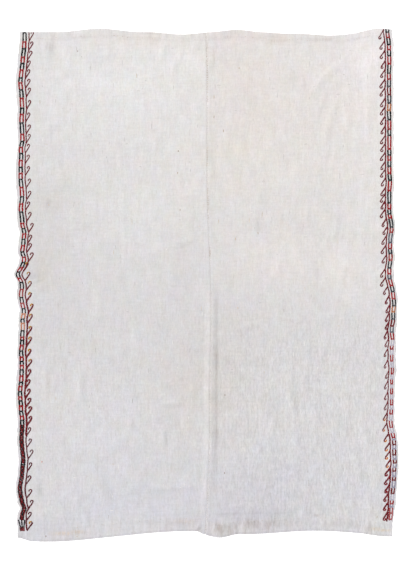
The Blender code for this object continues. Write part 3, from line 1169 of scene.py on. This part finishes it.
# Under the filled stretch of the left ladder: lines that run together to a foot
FAN_START = -1.094
FAN_END = -1.125
FOOT_END = -1.146
FAN_STROKE = 0.0094
FAN_LINES = ((-0.50, -0.12), (0.48, 0.50), (1.50, 1.12))
FOOT_LINES = (-0.10, 0.30, 0.70, 1.10)
FOOT_BLACK_SHARE = 0.2


def border_x(border, y, across):
    """x of the line at this share of the ladder's width: 0 is the outer line and 1 the inner one."""
    spread = wander(y, border.spread)
    margin = border.margin + wander(y, border.drift) - 0.5 * spread
    return border.edge(y) + border.inward * (margin + across * (border.ladder + spread))


def spine_x(border, y, roots):
    kink = sum(SPINE_KINK * soft_bump(y - root, SPINE_KINK_REACH) for root in roots)
    beyond = border.spine + wander(y, border.spine_drift) + kink
    return border_x(border, y, 1.0) + border.inward * beyond


def line_down(place, start, end):
    """Points of a nearly upright line from start down to end; place gives x at y."""
    ys = np.linspace(start, end, max(3, math.ceil((start - end) / LINE_STEP)))
    return np.column_stack((place(ys), ys))


def block_stitches(border, start, end, letter, weight, rng):
    """One block of the ladder: two lines that draw together at a rung."""
    yarn = YARN_OF[letter]
    rung_y = start if border.upward > 0 else end
    open_y = end if border.upward > 0 else start
    reach = PINCH_REACH * abs(start - end)
    line_stroke = weight * LADDER_STROKE
    made = []
    if letter in FILLED:
        filling = line_down(lambda ys: border_x(border, ys, 0.5), start, end)
        made += wrap_along(filling, border.ladder + 0.5 * line_stroke, FILLED[letter], rng, FILLING_SLANT)
        line_stroke *= FILLED_LINE_SHARE
    for across, pull in ((0.0, 1.0), (1.0, -1.0)):

        def place(ys, across=across, pull=pull):
            pinch = BLOCK_PINCH * soft_bump(ys - rung_y, reach)
            if letter in BULGING:
                pinch = BULGE * (0.5 - soft_bump(ys - 0.5 * (start + end), reach))
            return border_x(border, ys, across) + border.inward * pull * pinch

        stroke = line_stroke * rng.uniform(*LINE_SPREAD)
        made += wrap_along(line_down(place, start, end), stroke, yarn, rng)
    if letter in FILLED:
        return made
    rung = weight * RUNG_STROKE
    left = border_x(border, rung_y, 0.0) + border.inward * BLOCK_PINCH
    right = border_x(border, rung_y, 1.0) - border.inward * BLOCK_PINCH
    shift = math.copysign(0.5 * rung, open_y - rung_y)
    across = ((left, rung_y + shift), (right, rung_y + shift))
    return made + wrap_along(across, rung, yarn, rng, slant=RUNG_SLANT)


def ladder_stitches(border, rng):
    made = []
    top = border.start
    for section in border.sections:
        blocks = section.blocks.split()
        sizes = np.array([float(block[1:]) for block in blocks])
        sizes = sizes * rng.uniform(1.0 - BLOCK_JITTER, 1.0 + BLOCK_JITTER, len(blocks))
        ends = top + (section.end - top) * np.cumsum(sizes) / sizes.sum()
        starts = np.concatenate(([top], ends[:-1]))
        for start, end, block in zip(starts, ends, blocks):
            made += block_stitches(border, start, end, block[0], section.weight, rng)
        top = section.end
    return made


def foot_stitches(border, rng):
    """The three black lines under the left ladder and the red foot that they run into."""
    made = []
    for across, foot_across in FAN_LINES:
        top = (border_x(border, FAN_START, across), FAN_START)
        foot = (border_x(border, FAN_END, foot_across), FAN_END)
        made += wrap_along((top, foot), FAN_STROKE, "black", rng)
    for across in FOOT_LINES:
        column = line_down(lambda ys, across=across: border_x(border, ys, across), FAN_END, FOOT_END)
        for stitch in wrap_along(column, LADDER_STROKE, "deep_red", rng):
            dark = stitch.y > FAN_END - 2.0 * WRAP_PITCH or rng.uniform() < FOOT_BLACK_SHARE
            made.append(stitch._replace(yarn="black") if dark else stitch)
    return made


def hook_roots(border):
    """(y, run) of every hook's root, from the top end down."""
    roots = []
    top = border.start - border.root_drop
    if border.upward > 0:
        roots.append((top, border.hook_runs[0]))
    for run in border.hook_runs:
        for i in range(run.count):
            share = (i + 1.0) / run.count if border.upward > 0 else i / run.count
            roots.append((top + (run.end - top) * share, run))
        top = run.end
    return roots


def hook_stitches(border, rng):
    """The spine and its hooks."""
    roots = hook_roots(border)
    places = [y for y, _ in roots]
    last = border.hook_runs[-1].end
    made = []
    for (y, run), (below, _) in zip(roots, roots[1:] + [(last, None)]):
        if y - below > WRAP_PITCH:
            line = line_down(lambda ys: spine_x(border, ys, places), y, below)
            stroke = SPINE_TO_HOOK_STROKE * run.stroke * rng.uniform(*SPINE_SPREAD)
            made += wrap_along(line, stroke, run.yarn, rng)
    first = border.hook_runs[0]
    line = line_down(lambda ys: spine_x(border, ys, places), border.start, places[0])
    made += wrap_along(line, SPINE_TO_HOOK_STROKE * first.stroke, first.yarn, rng)
    for y, run in roots:
        y = y + rng.normal(0.0, HOOK_Y_SPREAD)
        size = rng.uniform(*HOOK_SIZE_SPREAD)
        lean = rng.uniform(*HOOK_LEAN_SPREAD)
        root_x = spine_x(border, y, places)
        points = [
            (
                root_x + border.inward * point.inward * size * lean * run.share,
                y + border.upward * point.along * size,
            )
            for point in border.hook_shape
        ]
        made += wrap_along(
            rounded(points),
            run.stroke,
            run.yarn,
            rng,
            taper=HOOK_TAPER,
            last_yarn=run.tip,
            last_share=HOOK_TIP_SHARE,
        )
    return made


def within_cloth(stitches):
    """The stitches that lie between the two ends of the rug."""
    kept = []
    for stitch in stitches:
        inset = abs(math.sin(stitch.angle)) * stitch.half_length - STITCH_OVERHANG
        if bottom_edge_y(stitch.x) + inset < stitch.y < top_edge_y(stitch.x) - inset:
            kept.append(stitch)
    return kept


# Sewing

SEAM_STITCH_PITCH = 0.0085
SEAM_STITCH_HALF = 0.0046
SEAM_STITCH_SLANT = math.radians(24.0)
SEAM_THREAD_HALF_WIDTH = 0.0007
HEM_STITCH_PITCH = 0.012
HEM_STITCH_HALF = 0.0034
HEM_THREAD_HALF_WIDTH = 0.0006
HEM_LINE_INSET = 0.0045
HEM_TAN_SHARE = 0.15
# The sewing stops this far short of the long sides, the seam and the seam's upper end
HEM_LINE_END = 0.008
SEAM_END = 0.004
# Share of the hem's stitches that are sunk out of sight
HEM_SUNK_SHARE = 0.35
# How unevenly the stitches are placed, turned and sized
SEWING_SPREAD = (0.85, 1.15)
SEAM_X_SPREAD = 0.0003
SEAM_TURN_SPREAD = 0.10
HEM_Y_SPREAD = 0.0006
HEM_TURN_SPREAD = 0.12
HEM_LENGTH_SPREAD = (0.6, 1.3)
# Stretches of the seam sewn in darker thread, as (top, bottom)
DARK_SEAM = ((1.070, 0.850), (0.665, 0.550), (0.457, 0.300), (0.180, 0.130))
SEAM_TAN_SHARE = 0.75


def seam_stitches(rng):
    made = []
    y = float(bottom_edge_y(SEAM_X)) + SEAM_STITCH_PITCH
    top = float(top_edge_y(SEAM_X)) - SEAM_END
    while y < top:
        in_dark = any(low < y < high for high, low in DARK_SEAM)
        x = float(seam_x(y)) + rng.normal(0.0, SEAM_X_SPREAD)
        angle = SEAM_STITCH_SLANT + rng.normal(0.0, SEAM_TURN_SPREAD)
        half_length = SEAM_STITCH_HALF * rng.uniform(*SEWING_SPREAD)
        yarn = "tan_thread" if in_dark and rng.uniform() < SEAM_TAN_SHARE else "ivory_thread"
        made.append(Stitch(x, y, angle, half_length, SEAM_THREAD_HALF_WIDTH, yarn))
        y += SEAM_STITCH_PITCH * rng.uniform(*SEWING_SPREAD)
    return made


def hem_stitches(rng):
    made = []
    for edge_y, offset in (
        (top_edge_y, HEM_LINE_INSET - TOP_HEM_WIDTH),
        (bottom_edge_y, BOTTOM_HEM_WIDTH - HEM_LINE_INSET),
    ):
        x = LEFT_EDGE_X + HEM_LINE_END
        while x < RIGHT_EDGE_X - HEM_LINE_END:
            sunk = rng.uniform() < HEM_SUNK_SHARE
            if abs(x - SEAM_X) > HEM_LINE_END and not sunk:
                y = float(edge_y(x)) + offset + rng.normal(0.0, HEM_Y_SPREAD)
                angle = rng.normal(0.0, HEM_TURN_SPREAD)
                half_length = HEM_STITCH_HALF * rng.uniform(*HEM_LENGTH_SPREAD)
                yarn = "tan_thread" if rng.uniform() < HEM_TAN_SHARE else "ivory_thread"
                made.append(Stitch(x, y, angle, half_length, HEM_THREAD_HALF_WIDTH, yarn))
            x += HEM_STITCH_PITCH * rng.uniform(*SEWING_SPREAD)
    return made


# Slubs: thick places in the hand-spun yarn, and the few coloured ones that show as specks

Speck = namedtuple("Speck", "x y length width yarn")
SPECKS = table(
    Speck,
    (36, 876, 18, 2.8, "tan_slub"),
    (36, 783, 16, 2.8, "tan_slub"),
    (80, 718, 14, 3, "tan_slub"),
    (136, 214, 14, 3.2, "tan_slub"),
    (241, 242, 12, 3, "tan_slub"),
    (-599, 1090, 6, 3, "brown_slub"),
    (-130, 624, 7, 3.8, "brown_slub"),
    (-134, 522, 9, 3.4, "tan_slub"),
    (-122, 350, 8, 3.4, "tan_slub"),
    (153, 1011, 8, 3.6, "tan_slub"),
    (-734, 373, 9, 3.4, "tan_slub"),
    (147, -107, 8, 3.6, "tan_slub"),
    (-766, -824, 9, 4.6, "rose_slub"),
    (87, -513, 8, 3.4, "brown_slub"),
    (85, -876, 8, 3.4, "brown_slub"),
    (796, -1081, 7, 3.6, "tan_slub"),
    (-747, -1170, 7, 4, "brown_slub"),
    (-602, -1172, 7, 3, "tan_slub"),
)
SLUB_COUNT = 560
SLUB_KINDS = (("pale_slub", 0.54), ("grey_slub", 0.44), ("straw_slub", 0.02))
SLUB_UPRIGHT_SHARE = 0.72
SLUB_INSET = 0.070
SLUB_SEAM_CLEARANCE = 0.012
SLUB_SHORTEST = 0.004
SLUB_LONGEST_UPRIGHT = 0.016
SLUB_LONGEST_LEVEL = 0.010
SLUB_HALF_WIDTHS = (0.0007, 0.0013)
SLUB_TURN_SPREAD = 0.04
SPECK_TURN_SPREAD = 0.05


def slub_stitches(rng):
    made = []
    for speck in SPECKS:
        angle = 0.5 * math.pi + rng.normal(0.0, SPECK_TURN_SPREAD)
        made.append(Stitch(speck.x, speck.y, angle, 0.5 * speck.length, 0.5 * speck.width, speck.yarn))
    names, odds = zip(*SLUB_KINDS)
    while len(made) < SLUB_COUNT:
        x = rng.uniform(LEFT_EDGE_X + SLUB_INSET, RIGHT_EDGE_X - SLUB_INSET)
        y = rng.uniform(BOTTOM_EDGE_Y + SLUB_INSET, TOP_EDGE_Y - SLUB_INSET)
        upright = rng.uniform() < SLUB_UPRIGHT_SHARE
        yarn = str(rng.choice(names, p=odds))
        half_length = rng.uniform(SLUB_SHORTEST, SLUB_LONGEST_UPRIGHT if upright else SLUB_LONGEST_LEVEL)
        half_width = rng.uniform(*SLUB_HALF_WIDTHS)
        if abs(x - float(seam_x(y))) < SLUB_SEAM_CLEARANCE:
            continue
        angle = (0.5 * math.pi if upright else 0.0) + rng.normal(0.0, SLUB_TURN_SPREAD)
        made.append(Stitch(x, y, angle, half_length, half_width, yarn))
    return made


# Materials

SPECULAR = 0.2


def from_srgb(red, green, blue):
    """The linear colour that shaders take, from a screen's one with parts from 0 to 255."""
    def linear(value):
        share = value / 255.0
        return share / 12.92 if share <= 0.04045 else ((share + 0.055) / 1.055) ** 2.4

    return (linear(red), linear(green), linear(blue), 1.0)


class Graph:
    """The shader nodes of one material, made by short calls that each return an output socket."""

    def __init__(self, name, roughness):
        self.material = bpy.data.materials.new(name)
        self.material.use_nodes = True
        self.tree = self.material.node_tree
        self.shader = self.tree.nodes["Principled BSDF"]
        self.shader.inputs["Roughness"].default_value = roughness
        self.shader.inputs["Specular IOR Level"].default_value = SPECULAR
        self.place = self.node("ShaderNodeTexCoord").outputs["Object"]

    def put(self, socket, value):
        if isinstance(value, bpy.types.NodeSocket):
            self.tree.links.new(value, socket)
        else:
            socket.default_value = value

    def node(self, kind, *values, **settings):
        """A new node with these settings, whose first inputs take these values or sockets."""
        made = self.tree.nodes.new(kind)
        for name, value in settings.items():
            setattr(made, name, value)
        for socket, value in zip(made.inputs, values):
            self.put(socket, value)
        return made

    def math(self, operation, first, second=0.0):
        return self.node("ShaderNodeMath", first, second, operation=operation).outputs[0]

    def product(self, first, second):
        return self.math("MULTIPLY", first, second)

    def vector_math(self, operation, first, second):
        return self.node("ShaderNodeVectorMath", first, second, operation=operation).outputs[0]

    def joined(self, x, y, z=0.0):
        return self.node("ShaderNodeCombineXYZ", x, y, z).outputs[0]

    def grey(self, value):
        return self.node("ShaderNodeCombineColor", value, value, value).outputs[0]

    def ranged(self, value, low, high, to_low, to_high):
        return self.node("ShaderNodeMapRange", value, low, high, to_low, to_high).outputs[0]

    def attribute(self, name, output):
        return self.node("ShaderNodeAttribute", attribute_name=name).outputs[output]

    def noise(self, vector, scale, detail=1.0, output="Fac", roughness=0.5):
        made = self.node("ShaderNodeTexNoise", vector)
        made.inputs["Scale"].default_value = scale
        made.inputs["Detail"].default_value = detail
        made.inputs["Roughness"].default_value = roughness
        return made.outputs[output]

    def multiplied(self, first, second):
        return self.mixed(1.0, first, second, "MULTIPLY")

    def mixed(self, factor, first, second, blend="MIX"):
        """Two colours, mixed or multiplied. They are the inputs 6 and 7 of the node."""
        made = self.node("ShaderNodeMix", factor, data_type="RGBA", blend_type=blend)
        self.put(made.inputs[6], first)
        self.put(made.inputs[7], second)
        return made.outputs[2]

    def chosen(self, second_share, first, second):
        """Two numbers, mixed by the share of the second. They are the inputs 2 and 3 of the node."""
        made = self.node("ShaderNodeMix", second_share, data_type="FLOAT")
        self.put(made.inputs[2], first)
        self.put(made.inputs[3], second)
        return made.outputs[0]

    def bump(self, height, distance, strength=1.0, normal=None):
        made = self.node("ShaderNodeBump")
        made.inputs["Strength"].default_value = strength
        made.inputs["Distance"].default_value = distance
        self.put(made.inputs["Height"], height)
        if normal is not None:
            self.put(made.inputs["Normal"], normal)
        return made.outputs["Normal"]

    def finish(self, colour, normal):
        self.put(self.shader.inputs["Base Color"], colour)
        self.put(self.shader.inputs["Normal"], normal)
        return self.material


WARP_PITCH = 0.0021
WEFT_PITCH = 0.0019
THREAD_WANDER = 0.0032
IVORY = from_srgb(221, 219, 220)
WARM_FIBRES = from_srgb(170, 134, 100)
BROWN_STAIN = from_srgb(160, 138, 122)
YELLOW_STAIN = from_srgb(214, 176, 112)
STAIN_COVER = 0.55
WEAVE_DEPTH = 0.00022
STREAK_DEPTH = 0.0006
BAND_DEPTH = 0.0010
BUMP_STRENGTH = 0.8

# Noises that are drawn out along the threads: how often each one changes in a metre along x and
# along y, and its own layer, so that no two are alike
Streaks = namedtuple("Streaks", "per_metre_x per_metre_y layer detail", defaults=(1.0,))
WARP_FINE = Streaks(230.0, 60.0, 0.0)
WARP_LONG = Streaks(110.0, 24.0, 4.0)
WARP_BROAD = Streaks(38.0, 7.0, 8.0, 2.0)
WEFT_FINE = Streaks(48.0, 250.0, 12.0)
WEFT_LONG = Streaks(15.0, 95.0, 16.0)
MOTTLES = Streaks(150.0, 28.0, 20.0, 2.0)
WARM_LONG = Streaks(90.0, 12.0, 24.0)
WARM_BROAD = Streaks(30.0, 24.0, 28.0, 2.0)
GATHERED = Streaks(40.0, 7.0, 32.0, 2.0)
HUES = Streaks(14.0, 10.0, 40.0, 4.0)
HUE_ROUGHNESS = 0.8
# How far red, green and blue wander apart from each other
HUE_SPREAD = (0.17, 0.085, 0.22)
DRIFTS_PER_METRE = 11.0
CLOUDS_PER_METRE = 9.0
# Height of a thread where it passes under another, and of the weft where it lies on top
UNDER_HEIGHT = 0.45
WEFT_HEIGHT = 0.9
# Tone between the threads, which is painted shade, and on top of them
WEAVE_SHADE_TONES = (0.90, 1.02)
# Warm fibres show where their noise is in this range, and cover the cloth by this much
WARM_RANGE = (-0.10, 0.25)
WARM_COVER = 0.10
MOTTLE_RANGE = (-0.16, 0.14)
LEAST_STAINED = 0.15
GATHER_SOIL = -1.6


def cloth_material():
    """Hand-spun plain weave: wandering threads, each of its own tone, with soiled hems."""
    g = Graph("woven_ivory", roughness=0.92)
    drift = g.vector_math("SUBTRACT", g.noise(g.place, DRIFTS_PER_METRE, 2.0, "Color"), (0.5,) * 3)
    wandered = g.vector_math("ADD", g.place, g.vector_math("MULTIPLY", drift, (THREAD_WANDER,) * 3))
    x, y, _ = g.node("ShaderNodeSeparateXYZ", wandered).outputs

    # Rounded threads, of which the warp and the weft lie on top in turn
    warp = g.math("DIVIDE", x, WARP_PITCH)
    weft = g.math("DIVIDE", y, WEFT_PITCH)
    warp_height = g.math("ABSOLUTE", g.math("SINE", g.product(warp, math.pi)))
    weft_height = g.math("ABSOLUTE", g.math("SINE", g.product(weft, math.pi)))
    over = g.math("FLOORED_MODULO", g.math("ADD", g.math("FLOOR", warp), g.math("FLOOR", weft)), 2.0)
    warp_over = g.product(warp_height, g.ranged(weft_height, 0.0, 1.0, UNDER_HEIGHT, 1.0))
    weft_over = g.product(weft_height, g.ranged(warp_height, 0.0, 1.0, UNDER_HEIGHT, WEFT_HEIGHT))
    weave = g.chosen(over, warp_over, weft_over)

    def drawn_out(noise):
        return g.joined(g.product(x, noise.per_metre_x), g.product(y, noise.per_metre_y), noise.layer)

    def streaks(noise):
        """Noise about zero, drawn out along one of the threads."""
        return g.math("SUBTRACT", g.noise(drawn_out(noise), 1.0, noise.detail), 0.5)

    def summed(*parts):
        """Sum of each noise times its own share."""
        total = g.product(*parts[0])
        for part in parts[1:]:
            total = g.math("ADD", total, g.product(*part))
        return total

    # Uneven yarn, from single threads to broad bands, changes the tone by these shares
    grain = g.attribute("grain", "Fac")
    warp_fine = streaks(WARP_FINE)
    warp_long = streaks(WARP_LONG)
    warp_broad = streaks(WARP_BROAD)
    weft_fine = streaks(WEFT_FINE)
    weft_long = streaks(WEFT_LONG)
    cloud = g.math("SUBTRACT", g.noise(g.place, CLOUDS_PER_METRE, 3.0), 0.5)
    gathers = g.product(streaks(GATHERED), g.attribute("gathers", "Fac"))
    coarse = g.product(summed((warp_long, 0.14), (warp_broad, 0.05)), grain)
    warps = g.product(summed((warp_fine, 0.19), (coarse, 1.0)), grain)
    threads = summed((warps, 1.0), (weft_fine, 0.12), (weft_long, 0.105))
    tone = summed((threads, 1.0), (warp_broad, 0.035), (cloud, 0.075), (gathers, 0.30))
    # Painted shade between the threads
    tone = g.product(g.math("ADD", tone, 1.0), g.ranged(weave, 0.0, 1.0, *WEAVE_SHADE_TONES))

    # The ivory with its patches and painted light and shade, then hues that wander, warm fibres and the
    # stains
    colour = g.multiplied(g.attribute("tint", "Color"), IVORY)
    hues = g.noise(drawn_out(HUES), 1.0, HUES.detail, "Color", HUE_ROUGHNESS)
    hues = g.vector_math("MULTIPLY", g.vector_math("SUBTRACT", hues, (0.5,) * 3), HUE_SPREAD)
    colour = g.multiplied(colour, g.vector_math("ADD", hues, (1.0,) * 3))
    warmth = summed((streaks(WARM_LONG), 0.5), (streaks(WARM_BROAD), 0.5))
    colour = g.mixed(g.ranged(warmth, *WARM_RANGE, 0.0, WARM_COVER), colour, WARM_FIBRES)
    mottled = g.ranged(streaks(MOTTLES), *MOTTLE_RANGE, LEAST_STAINED, 1.0)
    in_gathers = g.math("MAXIMUM", g.product(gathers, GATHER_SOIL), 0.0)
    brown = g.math("ADD", g.product(g.attribute("brown", "Fac"), mottled), in_gathers)
    yellow = g.product(g.attribute("yellow", "Fac"), mottled)
    colour = g.mixed(g.product(brown, STAIN_COVER), colour, BROWN_STAIN)
    colour = g.mixed(g.product(yellow, STAIN_COVER), colour, YELLOW_STAIN)
    colour = g.multiplied(colour, g.grey(tone))

    bands = summed((warp_broad, 1.0), (weft_long, 0.35), (cloud, 0.8))
    fine = g.product(summed((warp_fine, 1.0), (warp_long, 0.8), (weft_fine, 0.5)), grain)
    normal = g.bump(bands, BAND_DEPTH, BUMP_STRENGTH)
    normal = g.bump(fine, STREAK_DEPTH, BUMP_STRENGTH, normal)
    normal = g.bump(weave, WEAVE_DEPTH, BUMP_STRENGTH, normal)
    return g.finish(colour, normal)


# How light and dark the stitches are, the fibres on them and the worn places
SHADES = (0.84, 1.16)
FIBRE_SHADES = (0.82, 1.18)
WORN_SHADES = (0.9, 1.15)
# The middle part of a noise, in which nearly all of it lies
NOISE_MIDDLE = (0.3, 0.7)
FIBRES_PER_METRE = 1500.0
WORN_PER_METRE = 38.0
FIBRE_DEPTH = 0.0003
FIBRE_STRENGTH = 0.6
SHEEN = 0.08


def yarn_material(name, colour):
    """Dyed wool: each stitch a little lighter or darker, with the hairy twist of the yarn."""
    g = Graph(name, roughness=0.88)
    shade = g.ranged(g.attribute("shade", "Fac"), 0.0, 1.0, *SHADES)
    fibres = g.noise(g.place, FIBRES_PER_METRE, 2.0)
    worn = g.noise(g.place, WORN_PER_METRE, 2.0)
    shade = g.product(shade, g.ranged(fibres, *NOISE_MIDDLE, *FIBRE_SHADES))
    shade = g.product(shade, g.ranged(worn, *NOISE_MIDDLE, *WORN_SHADES))
    g.shader.inputs["Sheen Weight"].default_value = SHEEN
    return g.finish(g.multiplied(colour, g.grey(shade)), g.bump(fibres, FIBRE_DEPTH, FIBRE_STRENGTH))


YARN_COLOURS = {
    "black": (20, 21, 23),
    "red": (146, 20, 28),
    "deep_red": (106, 14, 20),
    "tan_peach": (186, 124, 96),
    "grey_black": (52, 55, 60),
    "blue_grey": (92, 94, 104),
    "orange": (168, 104, 66),
    "pale_lilac": (182, 178, 190),
    "lilac": (148, 144, 162),
    "faded_red": (152, 54, 54),
    "maroon": (104, 10, 22),
    "plum": (106, 20, 32),
    "wine": (88, 20, 32),
    "crimson": (128, 18, 32),
    "mustard": (176, 124, 26),
    "amber": (196, 112, 20),
    "ivory_thread": (214, 208, 202),
    "tan_thread": (186, 166, 142),
    "pale_slub": (224, 221, 218),
    "grey_slub": (205, 201, 199),
    "straw_slub": (208, 192, 170),
    "tan_slub": (192, 172, 148),
    "brown_slub": (140, 114, 94),
    "rose_slub": (214, 150, 142),
}


def floor_material():
    """White that glows a little, so that it stays white under the rug's edges."""
    g = Graph("white_floor", roughness=0.9)
    g.shader.inputs["Base Color"].default_value = FLOOR_WHITE
    g.shader.inputs["Emission Color"].default_value = (1.0, 1.0, 1.0, 1.0)
    g.shader.inputs["Emission Strength"].default_value = FLOOR_GLOW
    return g.material


# Stage, light and camera

PHOTO_WIDTH = 416
PHOTO_HEIGHT = 566
METRES_A_PIXEL = 0.00466
# Photo pixel that lies over the middle of the rug
RUG_MIDDLE_PIXEL = (206.27, 285.0)
LENS = 100.0
SENSOR = 36.0
FLOOR_DROP = 0.0006
FLOOR_HALF = 60.0
FLOOR_GLOW = 0.7
FLOOR_WHITE = (0.95, 0.95, 0.95, 1.0)
SKY_STRENGTH = 0.56
SUN_STRENGTH = 2.6
SUN_ELEVATION = math.radians(38.0)
SUN_AZIMUTH = math.radians(160.0)
SUN_ANGLE = math.radians(26.0)


def build_floor():
    corners = np.array([(-1, -1), (1, -1), (1, 1), (-1, 1)], float) * FLOOR_HALF
    vertices = np.column_stack((corners, np.full(4, -FLOOR_DROP)))
    floor = link("floor", mesh_from("floor", vertices, np.array([[0, 1, 2, 3]])))
    floor.data.materials.append(floor_material())


def build_light():
    world = bpy.data.worlds.new("studio")
    world.use_nodes = True
    world.node_tree.nodes["Background"].inputs["Color"].default_value = (1.0, 1.0, 1.0, 1.0)
    world.node_tree.nodes["Background"].inputs["Strength"].default_value = SKY_STRENGTH
    bpy.context.scene.world = world
    sun_data = bpy.data.lights.new("soft_key", "SUN")
    sun_data.energy = SUN_STRENGTH
    sun_data.angle = SUN_ANGLE
    sun = bpy.data.objects.new("soft_key", sun_data)
    towards = Vector((
        math.cos(SUN_AZIMUTH) * math.cos(SUN_ELEVATION),
        math.sin(SUN_AZIMUTH) * math.cos(SUN_ELEVATION),
        math.sin(SUN_ELEVATION),
    ))
    sun.rotation_euler = towards.to_track_quat("Z", "Y").to_euler()
    sun.location = towards * 4.0
    bpy.context.scene.collection.objects.link(sun)


def build_camera():
    """Straight above the rug, so that a photo pixel covers its real size on the cloth."""
    data = bpy.data.cameras.new("camera")
    data.lens = LENS
    data.sensor_width = SENSOR
    data.clip_end = 200.0
    camera = bpy.data.objects.new("camera", data)
    height = PHOTO_HEIGHT * METRES_A_PIXEL * LENS / SENSOR
    x = (0.5 * PHOTO_WIDTH - RUG_MIDDLE_PIXEL[0]) * METRES_A_PIXEL
    y = (RUG_MIDDLE_PIXEL[1] - 0.5 * PHOTO_HEIGHT) * METRES_A_PIXEL
    camera.location = (x, y, height + CLOTH_THICKNESS)
    bpy.context.scene.collection.objects.link(camera)
    bpy.context.scene.camera = camera
    bpy.context.scene.view_settings.view_transform = "Standard"


# The rug

def dress(piece, slot, *nodes):
    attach(piece, "root")
    if nodes:
        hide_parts(*nodes)
    return piece


build_camera()
build_light()
build_floor()

cloth = cloth_material()
yarns = {name: yarn_material(name, from_srgb(*colour)) for name, colour in YARN_COLOURS.items()}

left_cloth = dress(build_cloth("left_cloth", left_edge_x, -1, cloth), "ivory_cloth", "left_panel")
right_cloth = dress(build_cloth("right_cloth", right_edge_x, 1, cloth), "ivory_cloth", "right_panel")

border_rng = np.random.default_rng(SEED + 10)
pieces = {}
for side, border in (("left", LEFT_BORDER), ("right", RIGHT_BORDER)):
    ladder = ladder_stitches(border, border_rng)
    if side == "left":
        ladder += foot_stitches(border, border_rng)
    hooks = hook_stitches(border, border_rng)
    pieces[side] = [
        dress(build_stitches(f"{side}_ladder", within_cloth(ladder), yarns, SEED + 11), "dyed_yarn"),
        dress(build_stitches(f"{side}_hooks", within_cloth(hooks), yarns, SEED + 12), "dyed_yarn"),
    ]

sewing_rng = np.random.default_rng(SEED + 20)
threads = []
for name, stitches, seed, half_height in (
    ("seam_thread", seam_stitches(sewing_rng), SEED + 21, THREAD_HALF_HEIGHT),
    ("hem_thread", hem_stitches(sewing_rng), SEED + 22, THREAD_HALF_HEIGHT),
    ("slubs", slub_stitches(sewing_rng), SEED + 23, SLUB_HALF_HEIGHT),
):
    threads.append(dress(build_stitches(name, stitches, yarns, seed, half_height), "ivory_cloth"))

for cloth_piece, with_pieces in (
    (left_cloth, pieces["left"] + threads),
    (right_cloth, pieces["right"]),
):
    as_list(with_pieces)
